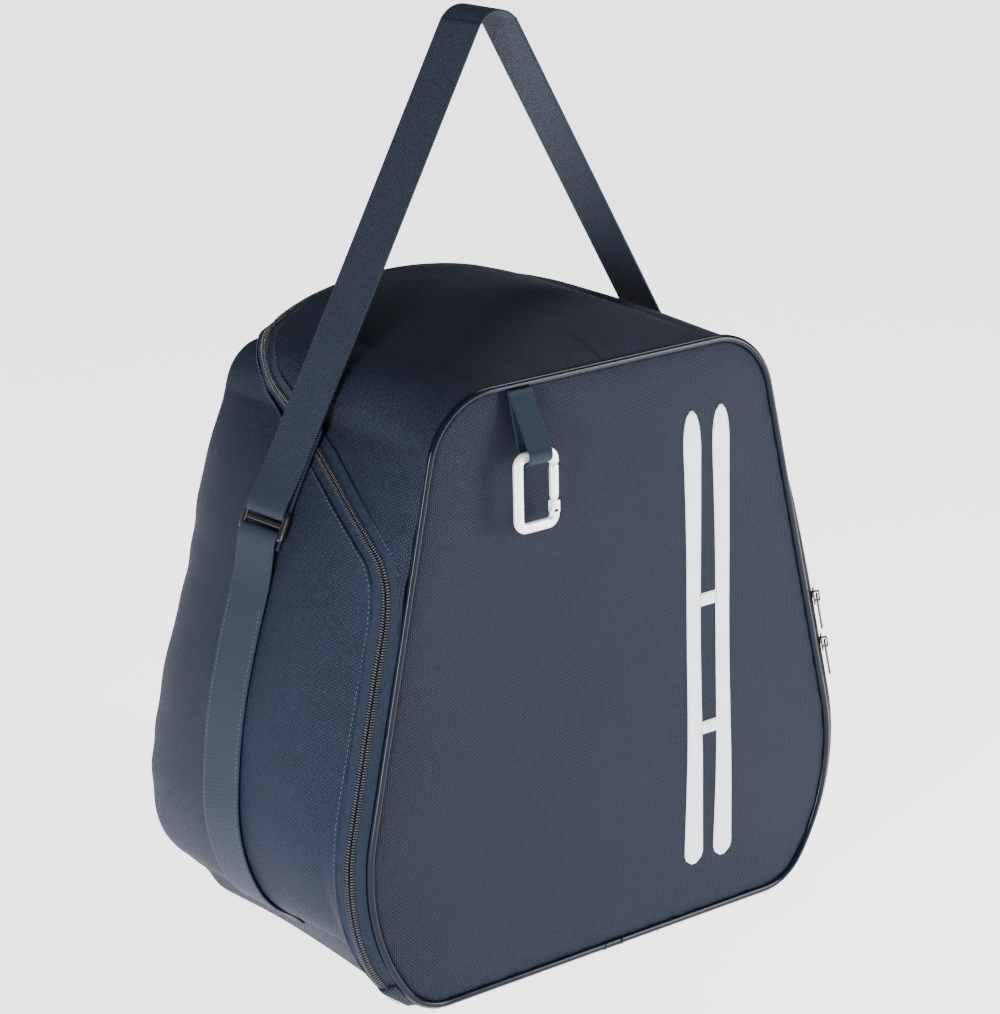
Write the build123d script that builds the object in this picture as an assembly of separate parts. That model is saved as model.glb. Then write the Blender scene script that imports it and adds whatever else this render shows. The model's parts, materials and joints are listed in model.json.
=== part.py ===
"""Ski boot bag: soft panelled bag with a zipped front, a shoulder strap and a carabiner on a webbing loop.

Millimetres, +Z up, X across the width, the front panel faces -Y.
Origin: on the floor, under the middle of the bag.
"""
import os
from math import asin, cos, exp, hypot, pi, radians, sin, sqrt

from build123d import *

# ---- bag outline, seen from the front (piping centre line) ----
LIFT = 3.2                  # height of the piping centre over the floor
HEIGHT = 399.0              # piping centre, bottom run to top run
DEPTH = 240.0               # front seam to back seam
SIDE_LEAN = 12.66           # degrees, sides lean in towards the top
SIDE_HALF_WIDTH = 179.3     # half width where the lean is measured
SIDE_LEVEL = 200.0          # height of that measurement
TOP_RADIUS = 48.9
LOW_RADIUS = 40.9           # tight arc next to the floor
FLANK_RADIUS = 137.3        # wide arc between the tight arc and the side
FLANK_TURN = 48.65          # degrees

# ---- fullness of the packed bag ----
SIDE_PUFF = 35.0
SIDE_PUFF_LEVEL = 200.0
SIDE_PUFF_BELOW = 160.0     # reach of the fullness under and over that level
SIDE_PUFF_ABOVE = 165.0
TOP_PUFF = 17.0
PUFF_POWER = 0.6
REAR_SHOULDER_TUCK = 14.0
REAR_SIDE_TUCK = 9.5        # the back is narrower than the front half way up
REAR_SIDE_LEVEL = 252.0
LOW_EDGE_TUCK = 13.5        # the lower side edges are drawn in towards the back
LOW_EDGE_AT = 176.0         # middle and reach of that tuck along the outline
LOW_EDGE_REACH = 62.0
CROWN = 23.0                # the zipped top rises towards the back and falls to the zip
CROWN_POWER = 1.4
CROWN_FADE = 45.0
CROWN_ROUND = 35.0          # the fall starts this far in front of the zip
CROWN_FALL = 53.0
CROWN_REST = 0.15
SEAM_STEP = 1.0             # fabric stands this far outside the piping centre line
FLOOR_DROP = 4.4

# ---- material thickness ----
FABRIC = 3.0
PANEL = 3.5
BASE_BOARD = 2.5
WEB = 1.5
TAPE = 1.0
GAP = 0.3

# ---- piping ----
PIPE_RADIUS = 2.5
SLEEVE_RADIUS = 3.1
SLEEVE_LENGTH = 17.0

# ---- zip ----
ZIP_Y = -112.5
COIL_SPLIT = 0.7            # half of the space between the two coil rows
COIL_EDGE = 3.3
FLAP_TAPE_EDGE = 8.4
BODY_TAPE_EDGE = 11.3
COIL_RISE = 1.2
SLIDER_A_AT = 330.0         # distance along the outline from the bottom centre
SLIDER_B_AT = 366.0

# ---- shoulder strap and side webbing ----
STRAP_WIDTH = 40.0
STRAP_THICK = 1.8
STRAP_FOOT_X = 186.0
STRAP_FOOT_Z = 310.2
STRAP_SLOPE = 0.57          # inward run for each unit of rise
STRAP_TOP_RADIUS = 19.0
STRAP_HINGE_Z = 476.0
STRAP_END_RADIUS = 20.0
STRAP_ROOT_Z = 380.0        # from here up to the hinge the webbing gives way
GLIDE_LEVEL = 472.0         # length along the outline where the slide buckle sits
GLIDE_LIFT = 4.8            # buckle middle over the fabric
WEB_LIFT = 2.5              # side webbing middle over the fabric
WEB_FOOT = 196.0
STRAP_END_GAP = 0.6
GLIDE_WIDTH = 47.0
GLIDE_HEIGHT = 19.5
GLIDE_BAR = 3.6
GLIDE_THICK = 2.4
GLIDE_SLOT = 4.1

# ---- hanging loop and carabiner ----
LOOP_X = -72.5
LOOP_WIDTH = 18.5
LOOP_TOP_Z = 395.0
LOOP_FOLD_Z = 360.5
LOOP_FOLD_Y = -137.0
LOOP_THICK = 1.5
LOOP_BORE = 4.9
CLIP_WIDTH = 36.0
CLIP_HEIGHT = 53.0
CLIP_BAR = 7.0
CLIP_THICK = 4.4
CLIP_CORNER = 9.0
GATE_LOW = -14.5            # ends of the gap in the ring, from its middle
GATE_HIGH = 15.5
PIN_RISE = 2.0              # pin over the lower end of the gap

FRONT_Y = -DEPTH / 2
BACK_Y = DEPTH / 2

# ---- lengths along half of the outline, from bottom centre to top centre ----
lean = radians(SIDE_LEAN)
flank_turn = radians(FLANK_TURN)
low_turn = pi / 2 + lean - flank_turn
top_turn = pi / 2 - lean
side_n = (cos(lean), sin(lean))
top_cz = HEIGHT - TOP_RADIUS
side_x0 = SIDE_HALF_WIDTH + SIDE_LEVEL * side_n[1] / side_n[0]
top_cx = side_x0 - top_cz * side_n[1] / side_n[0] - TOP_RADIUS / side_n[0]
join_a = low_turn - pi / 2
# flank centre sits on a line parallel to the side, one flank radius inside it
low_dx = (LOW_RADIUS - FLANK_RADIUS) * cos(join_a)
low_dz = (LOW_RADIUS - FLANK_RADIUS) * sin(join_a)
flank_cz = LOW_RADIUS + low_dz
flank_cx = side_x0 - flank_cz * side_n[1] / side_n[0] - FLANK_RADIUS / side_n[0]
low_cx = flank_cx - low_dx
LEN_FLOOR = low_cx
LEN_LOW = LEN_FLOOR + LOW_RADIUS * low_turn
LEN_FLANK = LEN_LOW + FLANK_RADIUS * flank_turn
side_start = (flank_cx + FLANK_RADIUS * side_n[0], flank_cz + FLANK_RADIUS * side_n[1])
side_end = (top_cx + TOP_RADIUS * side_n[0], top_cz + TOP_RADIUS * side_n[1])
LEN_SIDE = LEN_FLANK + hypot(side_end[0] - side_start[0], side_end[1] - side_start[1])
LEN_CORNER = LEN_SIDE + TOP_RADIUS * top_turn
LEN_ALL = LEN_CORNER + top_cx


def outline(s):
    """Point and outward direction at length s along the right half of the front outline."""
    if s <= LEN_FLOOR:
        return s, 0.0, 0.0, -1.0
    if s <= LEN_LOW:
        a = (s - LEN_FLOOR) / LOW_RADIUS - pi / 2
        return low_cx + LOW_RADIUS * cos(a), LOW_RADIUS + LOW_RADIUS * sin(a), cos(a), sin(a)
    if s <= LEN_FLANK:
        a = (s - LEN_LOW) / FLANK_RADIUS + join_a
        return flank_cx + FLANK_RADIUS * cos(a), flank_cz + FLANK_RADIUS * sin(a), cos(a), sin(a)
    if s <= LEN_SIDE:
        t = s - LEN_FLANK
        return side_start[0] - t * side_n[1], side_start[1] + t * side_n[0], side_n[0], side_n[1]
    if s <= LEN_CORNER:
        a = (s - LEN_SIDE) / TOP_RADIUS + lean
        return top_cx + TOP_RADIUS * cos(a), top_cz + TOP_RADIUS * sin(a), cos(a), sin(a)
    return max(0.0, LEN_ALL - s), HEIGHT, 0.0, 1.0


# path of the zip as (length along the half outline, y)
ZIP_KNOTS = [
    (186.0, ZIP_Y), (240.0, ZIP_Y), (300.0, ZIP_Y), (350.0, ZIP_Y), (400.0, ZIP_Y), (430.0, -112.2),
    (448.0, -110.0), (460.0, -106.0), (472.0, -97.5), (491.0, -73.0), (513.0, -36.0), (532.0, 8.0),
    (550.0, 48.0), (566.0, 70.0), (585.0, 90.0), (606.0, 101.0), (630.0, 104.5), (660.0, 105.0), (LEN_ALL, 105.0),
]


def ease(t):
    """Smooth step from 0 to 1."""
    t = min(1.0, max(0.0, t))
    return t * t * (3 - 2 * t)


def zip_level(s):
    """y of the zip at length s along the outline."""
    for (s0, y0), (s1, y1) in zip(ZIP_KNOTS[:-1], ZIP_KNOTS[1:]):
        if s <= s1:
            return y0 + (y1 - y0) * max(0.0, s - s0) / (s1 - s0)
    return ZIP_KNOTS[-1][1]


def crown(s, y):
    """Rise of the zipped top: it grows towards the back and rounds off at the zip."""
    start = zip_level(s) - CROWN_ROUND
    t = min(1.0, max(0.0, (y - start) / min(BACK_Y + 3.0 - start, CROWN_FALL)))
    rise = max(0.0, (y + BACK_Y) / DEPTH) ** CROWN_POWER
    drop = CROWN_REST + (1 - CROWN_REST) * (1 - t**2.2) ** 0.6
    return CROWN * rise * drop * ease((s - LEN_SIDE + 5.0) / CROWN_FADE)


def fullness(s, y):
    """How far the packed fabric stands outside the front outline."""
    x, z, nx, nz = outline(s)
    fall = max(0.0, 1 - (y / BACK_Y) ** 2) ** PUFF_POWER
    if s <= LEN_CORNER:
        reach = SIDE_PUFF_BELOW if z < SIDE_PUFF_LEVEL else SIDE_PUFF_ABOVE
        side = max(0.0, 1 - ((z - SIDE_PUFF_LEVEL) / reach) ** 2) ** 0.8
        lip = 1 - exp(-((z / 22.0) ** 2)) if z < SIDE_PUFF_LEVEL else side
        near = min(1.0, max(0.0, (-y - 90.0) / 22.0))
        puff = SIDE_PUFF * fall * (side + (lip - side) * near)
    else:
        puff = TOP_PUFF * fall * max(0.0, 1 - (x / top_cx) ** 2) ** 0.8
    step = SEAM_STEP
    if s <= LEN_FLOOR:
        step = FLOOR_DROP
    elif s <= LEN_LOW:
        t = (s - LEN_FLOOR) / (LEN_LOW - LEN_FLOOR)
        step = FLOOR_DROP + (SEAM_STEP - FLOOR_DROP) * t
    rear = ((y + BACK_Y) / DEPTH) ** 2
    tuck = REAR_SHOULDER_TUCK * rear * exp(-(((z - 372.0) / 55.0) ** 2))
    if s > LEN_CORNER:
        tuck *= (x / top_cx) ** 2
    else:
        tuck += REAR_SIDE_TUCK * rear * exp(-(((z - REAR_SIDE_LEVEL) / 60.0) ** 2))
    if abs(s - LOW_EDGE_AT) < LOW_EDGE_REACH:
        low = cos(pi / 2 * (s - LOW_EDGE_AT) / LOW_EDGE_REACH) ** 2
        tuck += LOW_EDGE_TUCK * low * ease((y + 115.0) / 190.0)
    return step + puff - tuck + crown(s, y)


def skin(s, y, off=0.0, side=1):
    """Point on the bag fabric; side +1 is the right half, -1 the left half."""
    x, z, nx, nz = outline(s)
    d = fullness(s, y) + off
    return Vector(side * (x + nx * d), y, LIFT + z + nz * d)


def stations():
    """Lengths along the half outline at which the sections are drawn."""
    spans = [
        (0.0, LEN_FLOOR, 4),
        (LEN_FLOOR, LEN_LOW, 4),
        (LEN_LOW, LEN_FLANK, 4),
        (LEN_FLANK, LEN_SIDE, 8),
        (LEN_SIDE, LEN_CORNER, 6),
        (LEN_CORNER, LEN_ALL, 4),
    ]
    out = []
    for a, b, n in spans:
        out += [a + (b - a) * k / n for k in range(n)]
    return out + [LEN_ALL]


def section(y, off):
    right = [skin(s, y, off) for s in stations()]
    left = [skin(s, y, off, -1) for s in stations()[1:-1]]
    return Wire([Edge.make_spline(right + left[::-1], periodic=True)])


def full_body(off, floor_z):
    """Solid filling the bag out to the fabric, moved by off, cut flat at the floor."""
    count = 13
    ys = [BACK_Y * sin(radians(-90 + 180 * k / (count - 1))) for k in range(count)]
    body = Solid.make_loft([section(y, off) for y in ys])
    keep = Pos(0, 0, floor_z + 300) * Box(600, 400, 600)
    return body & keep


def exact_outline(off, y):
    """Closed wire round the front outline, moved outwards by off."""
    def at(s, side=1):
        x, z, nx, nz = outline(s)
        return Vector(side * (x + nx * off), y, LIFT + z + nz * off)
    marks = [LEN_FLOOR, LEN_LOW, LEN_FLANK, LEN_SIDE, LEN_CORNER]
    edges = [Edge.make_line(at(LEN_FLOOR, -1), at(LEN_FLOOR))]
    for side in (1, -1):
        for a, b in zip(marks[:-1], marks[1:]):
            if b == LEN_SIDE:
                edges.append(Edge.make_line(at(a, side), at(b, side)))
            else:
                edges.append(Edge.make_three_point_arc(at(a, side), at((a + b) / 2, side), at(b, side)))
    edges.append(Edge.make_line(at(LEN_CORNER), at(LEN_CORNER, -1)))
    return Wire(edges)


def ribbon(frames, a0, a1, h0, h1):
    """Band through frames of (point, across, outward), from a0 to a1 across and h0 to h1 outward."""
    rings = []
    for p, a, n in frames:
        quad = [p + a * a0 + n * h0, p + a * a1 + n * h0, p + a * a1 + n * h1, p + a * a0 + n * h1]
        rings.append(Wire.make_polygon(quad, close=True))
    return Solid.make_loft(rings)


def band(points, across, half, thick):
    """Webbing of even thickness whose middle line runs through the points, at right angles to across."""
    rims = ([], [])
    for i, p in enumerate(points):
        before = (p - points[max(0, i - 1)])
        after = (points[min(len(points) - 1, i + 1)] - p)
        t = Vector(0, 0, 0)
        for v in (before, after):
            if v.length > 1e-6:
                t += v.normalized()
        t = t.normalized()
        turn = (after if after.length > 1e-6 else before).normalized()
        n = across.cross(t) * (thick / 2 / max(0.5, t.dot(turn)))
        rims[0].append(p + n)
        rims[1].append(p - n)
    ring = rims[0] + rims[1][::-1]
    face = Face(Wire.make_polygon([q - across * half for q in ring], close=True))
    return Solid.extrude(face, across * (2 * half))


def smooth_path(knots, step):
    """Points spaced evenly on a smooth curve through the knots."""
    pts = [knots[0]] + list(knots) + [knots[-1]]
    dense = []
    for i in range(1, len(pts) - 2):
        p0, p1, p2, p3 = pts[i - 1], pts[i], pts[i + 1], pts[i + 2]
        for k in range(12):
            t = k / 12
            q = []
            for a, b, c, d in zip(p0, p1, p2, p3):
                q.append(b + 0.5 * t * (c - a + t * (2 * a - 5 * b + 4 * c - d + t * (3 * (b - c) + d - a))))
            dense.append(q)
    dense.append(list(knots[-1]))
    run = [0.0]
    for p, q in zip(dense[:-1], dense[1:]):
        run.append(run[-1] + hypot(q[0] - p[0], q[1] - p[1]))
    count = max(2, round(run[-1] / step))
    out = []
    j = 0
    for k in range(count + 1):
        want = run[-1] * k / count
        while j < len(run) - 2 and run[j + 1] < want:
            j += 1
        t = (want - run[j]) / max(1e-9, run[j + 1] - run[j])
        t = min(1.0, t)
        out.append(tuple(a + (b - a) * t for a, b in zip(dense[j], dense[j + 1])))
    return out


def zip_half(step=13.0):
    return smooth_path(ZIP_KNOTS, step)


def zip_frame(path, i, side, lean_to):
    """Frame on the zip; lean_to -1 follows the flap side of the fabric, +1 the body side."""
    s, y = path[i]
    s0, y0 = path[max(0, i - 1)]
    s1, y1 = path[min(len(path) - 1, i + 1)]
    if i == len(path) - 1:
        ds, dy = 1.0, 0.0
    else:
        ds, dy = s1 - s0, y1 - y0
    size = hypot(ds, dy)
    ds, dy = ds / size, dy / size
    reach = 8.0
    p = skin(s, y, 0, side)
    qs, qy = s - dy * reach * lean_to, y + ds * reach * lean_to
    q = skin(min(LEN_ALL, qs), max(FRONT_Y, qy), 0, side)
    ahead = skin(min(LEN_ALL, s + ds), y + dy, 0, side) - skin(s - ds, y - dy, 0, side)
    if i == len(path) - 1:
        ahead = Vector(-side, 0, 0)
        q = skin(LEN_ALL, y + reach * lean_to, 0, side)
    across = (q - p) * lean_to
    across = across.normalized()
    t = ahead.normalized()
    across = (across - t * across.dot(t)).normalized()
    n = across.cross(t) * side
    return p, across, n.normalized()


def zip_frames(lean_to, first=0):
    path = zip_half()
    left = [zip_frame(path, i, -1, lean_to) for i in range(first, len(path))]
    right = [zip_frame(path, i, 1, lean_to) for i in range(first, len(path) - 1)]
    return left + right[::-1]


def zip_cutter():
    """Solid that clears the fabric away under the zip tapes."""
    rings = []
    for (p, af, nf), (p2, ab, nb) in zip(zip_frames(-1), zip_frames(1)):
        nm = (nf + nb).normalized()
        lo = FLAP_TAPE_EDGE + 0.15
        hi = BODY_TAPE_EDGE + 0.15
        ring = [
            p - af * lo + nf * 9, p + nm * 9, p + ab * hi + nb * 9,
            p + ab * hi - nb * 9, p - nm * 9, p - af * lo - nf * 9,
        ]
        rings.append(Wire.make_polygon(ring, close=True))
    return Solid.make_loft(rings)


def zip_tape_flap():
    return ribbon(zip_frames(-1), -FLAP_TAPE_EDGE, -COIL_EDGE - 0.05, -TAPE, 0)


def zip_tape_body():
    return ribbon(zip_frames(1), COIL_EDGE + 0.05, BODY_TAPE_EDGE, -TAPE, 0)


def zip_coil_flap():
    return ribbon(zip_frames(-1), -COIL_EDGE, -COIL_SPLIT, -TAPE, COIL_RISE)


def zip_coil_body():
    return ribbon(zip_frames(1), COIL_SPLIT, COIL_EDGE, -TAPE, COIL_RISE)


def zip_end_tab(side):
    """Folded fabric tab over the lower end of the zip."""
    path = zip_half()
    p, a, n = zip_frame(path, 0, side, 1)
    p2 = zip_frame(path, 1, side, 1)[0]
    t = (p2 - p).normalized()
    lo = p - t * 14.0
    hi = p - t * 0.4
    return ribbon([(lo, a, n), (hi, a, n)], -3.0, 9.0, 0.6, 2.4)


def pick(shape, test):
    found = [s for s in shape.solids() if test(s.center())]
    return max(found, key=lambda s: s.volume)


def shell_pieces():
    """The four fabric gusset panels and the flap top, cut from one shell."""
    shell = full_body(0, 0) - full_body(-FABRIC, FABRIC)
    shell = shell & (Pos(0, -0.2, 300) * Box(600, 232.8, 700))
    shell = shell - zip_cutter()
    solids = sorted(shell.solids(), key=lambda s: -s.volume)
    body = solids[0]
    flap = [s for s in solids[1:] if s.center().Z > 300][0]
    seam = 130.0
    rear = 84.0
    low = Pos(0, 0, 4) * Box(2 * seam - 0.2, 400, 30)
    high = Pos(0, 110, 410) * Box(2 * rear - 0.2, 60, 60)
    wide_low = Pos(0, 0, 4) * Box(2 * seam + 0.2, 400, 30)
    wide_high = Pos(0, 110, 410) * Box(2 * rear + 0.2, 60, 60)
    bottom = pick(body & low, lambda c: True)
    rear_top = pick(body & high, lambda c: True)
    rest = body - wide_low - wide_high
    left = pick(rest, lambda c: c.X < 0)
    right = pick(rest, lambda c: c.X > 0)
    return {
        "bottom_panel": bottom, "rear_top_panel": rear_top,
        "side_panel_left": left, "side_panel_right": right, "top_panel": flap,
    }


def back_panel():
    face = Face(section(BACK_Y, -0.2))
    panel = Solid.extrude(face, Vector(0, -PANEL, 0))
    return panel & (Pos(0, 0, 300) * Box(600, 400, 600))


def front_panel():
    face = Face(exact_outline(-SLEEVE_RADIUS - 0.3, FRONT_Y - 2.0))
    return Solid.extrude(face, Vector(0, PANEL, 0))


def front_piping():
    path = exact_outline(0, FRONT_Y)
    start = Vector(0, FRONT_Y, LIFT)
    ring = Plane(origin=start, z_dir=(1, 0, 0)) * Circle(PIPE_RADIUS)
    edges = path.edges()
    return sweep(ring, path=Wire(edges))


def piping_joint():
    bore = PIPE_RADIUS + 0.1
    tube = Cylinder(SLEEVE_RADIUS - 0.25, SLEEVE_LENGTH)
    for k in (-1, 1):
        tube += Pos(0, 0, k * (SLEEVE_LENGTH / 2 - 1.5)) * Cylinder(SLEEVE_RADIUS, 3.0)
    tube -= Cylinder(bore, SLEEVE_LENGTH + 2)
    return Pos(0, FRONT_Y, LIFT) * Rot(0, 90, 0) * tube


def seam_binding(y0, y1, front):
    """Bound seam allowance standing inside the bag along a seam."""
    ring_y = y0
    if front:
        outer = Face(exact_outline(-FABRIC - 1.6, ring_y))
        inner = Face(exact_outline(-FABRIC - 7.6, ring_y))
    else:
        outer = Face(section(BACK_Y, -FABRIC - 1.6))
        inner = Face(section(BACK_Y, -FABRIC - 7.6))
        outer = outer.moved(Location((0, y0 - BACK_Y, 0)))
        inner = inner.moved(Location((0, y0 - BACK_Y, 0)))
    band = Solid.extrude(outer, Vector(0, y1 - y0, 0)) - Solid.extrude(inner, Vector(0, y1 - y0, 0))
    return band & (Pos(0, 0, 300 + FABRIC + BASE_BOARD + 0.6) * Box(600, 400, 600))


def base_board():
    plate = Box(252, 218, BASE_BOARD)
    plate = fillet(plate.edges().filter_by(Axis.Z), 18)
    return Pos(0, 2, FABRIC + 0.2 + BASE_BOARD / 2) * plate


def front_print():
    """Decoration: an upright pair of skis drawn as one flat shape."""
    face = Sketch() + Pos(-13, 0) * SlotOverall(318, 17, rotation=90)
    face += Pos(13, 0) * SlotOverall(318, 17, rotation=90)
    for k in (-62, 28):
        face += Pos(0, k) * Rectangle(26, 9)
    at = Plane(origin=(84, FRONT_Y - 2.0, LIFT + 197), x_dir=(1, 0, 0), z_dir=(0, -1, 0))
    return extrude(at * face, 0.3)


Y_AXIS = Vector(0, 1, 0)


def glide_frame():
    """Middle of the slide buckle on the left side, with its outward and upward directions."""
    p = skin(GLIDE_LEVEL, 0, GLIDE_LIFT, -1)
    t = (skin(GLIDE_LEVEL + 14, 0, GLIDE_LIFT, -1) - skin(GLIDE_LEVEL - 14, 0, GLIDE_LIFT, -1)).normalized()
    n = (Y_AXIS.cross(t) * -1).normalized()
    return p, n, t


def strap_slider():
    """Three-bar slide buckle on the left side."""
    p, n, t = glide_frame()
    body = Box(GLIDE_WIDTH, GLIDE_HEIGHT, GLIDE_THICK)
    body = fillet(body.edges().filter_by(Axis.Z), 2.5)
    hole = Box(STRAP_WIDTH + 1.6, GLIDE_SLOT, 10)
    for k in (-1, 1):
        body -= Pos(0, k * (GLIDE_BAR / 2 + GLIDE_SLOT / 2), 0) * hole
    return Plane(origin=p, x_dir=Y_AXIS, z_dir=n) * body


def fold_points(centre, r, n, t, a0, a1, count):
    """Points round a bar from angle a0 to a1: 0 faces outwards, 90 faces up."""
    out = []
    for k in range(count + 1):
        ang = radians(a0 + (a1 - a0) * k / count)
        out.append(centre + n * (r * cos(ang)) + t * (r * sin(ang)))
    return out


FOLD_OFFSET = GLIDE_BAR / 2 + GLIDE_SLOT + 0.6


def web_points(side, s0, s1, lift, count):
    return [skin(s0 + (s1 - s0) * k / count, 0, lift, side) for k in range(count + 1)]


def side_webbing_left():
    """Sewn to the side, goes up and folds round the lower bar of the buckle."""
    p, n, t = glide_frame()
    bar = p - t * FOLD_OFFSET
    r = GLIDE_THICK / 2 + GAP + WEB / 2
    pts = web_points(-1, WEB_FOOT, GLIDE_LEVEL - 44, WEB_LIFT, 20)
    pts.append(skin(GLIDE_LEVEL - 33, 0, WEB_LIFT + 0.8, -1))
    pts.append(skin(GLIDE_LEVEL - 22, 0, WEB_LIFT + 2.6, -1))
    fold = fold_points(bar, r, n, t, 0, 180, 10)
    pts.append(fold[0] - t * 5)
    pts += fold
    pts.append(fold[-1] - t * 9)
    return band(pts, Y_AXIS, STRAP_WIDTH / 2 - 0.5, WEB)


def side_webbing_right():
    pts = web_points(1, WEB_FOOT, GLIDE_LEVEL + 8, WEB_LIFT, 24)
    return band(pts, Y_AXIS, STRAP_WIDTH / 2 - 0.5, WEB)


def strap_line(z, side):
    """Middle of the strap leg at a height."""
    return Vector(side * (STRAP_FOOT_X - STRAP_SLOPE * (z - STRAP_FOOT_Z)), 0, z)


LEG_TOP = STRAP_ROOT_Z - GAP


def strap_root(side):
    """Stretch of webbing that bends when the strap swings or the zipped front opens."""
    pts = [strap_line(STRAP_ROOT_Z, side), strap_line(STRAP_HINGE_Z + 10, side)]
    root = band(pts, Y_AXIS, STRAP_WIDTH / 2, STRAP_THICK)
    root -= Pos(0, 0, STRAP_HINGE_Z) * Rot(0, 90, 0) * Cylinder(STRAP_END_RADIUS + STRAP_END_GAP, 520)
    return min(root.solids(), key=lambda c: c.center().Z)


def strap_leg_left():
    """Comes down outside the upper bar, through the slot and back up inside."""
    p, n, t = glide_frame()
    bar = p + t * FOLD_OFFSET
    r = GLIDE_THICK / 2 + GAP + STRAP_THICK / 2
    pts = [strap_line(z, -1) for z in (LEG_TOP, 362, 345)]
    fold = fold_points(bar, r, n, t, 0, -180, 10)
    pts.append(fold[0] + t * 6)
    pts += fold
    pts.append(fold[-1] + t * 6)
    inward = Vector(STRAP_THICK + 0.9, 0, 0)
    for z in (337, 352, 368):
        pts.append(strap_line(z, -1) + inward)
    return band(pts, Y_AXIS, STRAP_WIDTH / 2, STRAP_THICK)


def strap_leg_right():
    """Sewn over the side webbing, then leaves the side in a straight line."""
    lift = WEB_LIFT + WEB / 2 + 0.1 + STRAP_THICK / 2
    pts = web_points(1, GLIDE_LEVEL - 42, GLIDE_LEVEL + 12, lift, 6)
    pts += [strap_line(z, 1) for z in (342, 361, LEG_TOP)]
    return band(pts, Y_AXIS, STRAP_WIDTH / 2, STRAP_THICK)


def strap_loop():
    """Free part of the shoulder strap, over the bag."""
    tilt = asin(STRAP_SLOPE / hypot(1, STRAP_SLOPE))
    peak = STRAP_FOOT_Z + STRAP_FOOT_X / STRAP_SLOPE
    centre = Vector(0, 0, peak - STRAP_TOP_RADIUS / sin(tilt))
    low = STRAP_HINGE_Z - STRAP_END_RADIUS - 4
    pts = [strap_line(low, -1)]
    count = 14
    for k in range(count + 1):
        ang = pi - tilt - (pi - 2 * tilt) * k / count
        pts.append(centre + Vector(cos(ang), 0, sin(ang)) * STRAP_TOP_RADIUS)
    pts.append(strap_line(low, 1))
    loop = band(pts, Y_AXIS, STRAP_WIDTH / 2, STRAP_THICK)
    trim = Pos(0, 0, STRAP_HINGE_Z - 50) * Box(500, 100, 100)
    trim -= Pos(0, 0, STRAP_HINGE_Z) * Rot(0, 90, 0) * Cylinder(STRAP_END_RADIUS, 520)
    return pick(loop - trim, lambda c: True)


def hanger_loop():
    """Folded webbing under the top piping, with the carabiner in its fold."""
    fold = Vector(LOOP_X, LOOP_FOLD_Y, LOOP_FOLD_Z)
    r = LOOP_BORE + LOOP_THICK / 2
    back = Vector(LOOP_X, FRONT_Y - 2.0 - GAP - LOOP_THICK / 2, LOOP_TOP_Z)
    front = back - Vector(0, LOOP_THICK + 0.1, 0)
    up = ((back + front) * 0.5 - fold).normalized()
    out = Vector(0, up.Z, -up.Y) * -1
    ring = fold_points(fold, r, out, up, -205, 25, 14)
    pts = [back, back * 0.45 + ring[0] * 0.55]
    pts += ring
    pts += [front * 0.45 + ring[-1] * 0.55, front]
    return band(pts, Vector(1, 0, 0), LOOP_WIDTH / 2, LOOP_THICK)


CLIP_TOP = LOOP_FOLD_Z - 0.5
CLIP_X = LOOP_X


def clip_plane():
    """Carabiner middle; x to the right, y up."""
    z = CLIP_TOP + CLIP_BAR / 2 - CLIP_HEIGHT / 2
    return Plane(origin=(CLIP_X, LOOP_FOLD_Y, z), x_dir=(1, 0, 0), z_dir=(0, -1, 0))


def carabiner_body():
    ring = RectangleRounded(CLIP_WIDTH, CLIP_HEIGHT, CLIP_CORNER)
    ring -= RectangleRounded(CLIP_WIDTH - 2 * CLIP_BAR, CLIP_HEIGHT - 2 * CLIP_BAR, CLIP_CORNER - CLIP_BAR)
    body = extrude(ring, CLIP_THICK / 2, both=True)
    gap = Pos(CLIP_WIDTH / 2 - CLIP_BAR / 2, (GATE_LOW + GATE_HIGH) / 2, 0)
    body -= gap * Box(CLIP_BAR + 2, GATE_HIGH - GATE_LOW, 10)
    # fork that takes the gate foot
    x = CLIP_WIDTH / 2 - CLIP_BAR / 2
    for k in (-1, 1):
        body += Pos(x, GATE_LOW + 1.5, k * (CLIP_THICK / 2 - 0.45)) * Box(CLIP_BAR - 0.6, 9, 0.9)
    body -= Pos(x, GATE_LOW + PIN_RISE, 0) * Cylinder(0.95, 12)
    body -= Pos(x, GATE_LOW + 0.5, 0) * Box(CLIP_BAR + 1, 8.6, CLIP_THICK - 1.7)
    # nose hook that the gate closes on
    body += Pos(x, GATE_HIGH - 1.5, 0) * Box(2.0, 4.0, 1.6)
    return clip_plane() * body


def carabiner_gate():
    x = CLIP_WIDTH / 2 - CLIP_BAR / 2
    low = GATE_LOW + PIN_RISE
    high = GATE_HIGH - 0.35
    bar = Pos(x, (low + 5.2 + high) / 2, 0) * Box(CLIP_BAR - 0.9, high - low - 5.2, CLIP_THICK)
    foot = Pos(x, low + 2.6, 0) * Box(4.4, 5.6, CLIP_THICK - 2.4)
    foot += Pos(x, low, 0) * Cylinder(2.2, CLIP_THICK - 2.4)
    bar += foot
    bar -= Pos(x, low, 0) * Cylinder(0.95, 12)
    bar -= Pos(x + 1.6, high - 1.6, 0) * Box(6.8, 5.6, 2.4)
    return clip_plane() * bar


def carabiner_pin():
    x = CLIP_WIDTH / 2 - CLIP_BAR / 2
    return clip_plane() * (Pos(x, GATE_LOW + PIN_RISE, 0) * Cylinder(0.75, CLIP_THICK + 0.4))


def slider_plane(s):
    """Zip slider frame on the right side: x towards the body, y up the zip, z outwards."""
    p = skin(s, ZIP_Y, 0, 1)
    t = (skin(s + 8, ZIP_Y, 0, 1) - skin(s - 8, ZIP_Y, 0, 1)).normalized()
    qf = skin(s, FRONT_Y, 0, 1)
    qb = skin(s, ZIP_Y + 7, 0, 1)
    a = (qb - qf).normalized()
    a = (a - t * a.dot(t)).normalized()
    n = a.cross(t).normalized()
    return Plane(origin=p, x_dir=a, z_dir=n)


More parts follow.
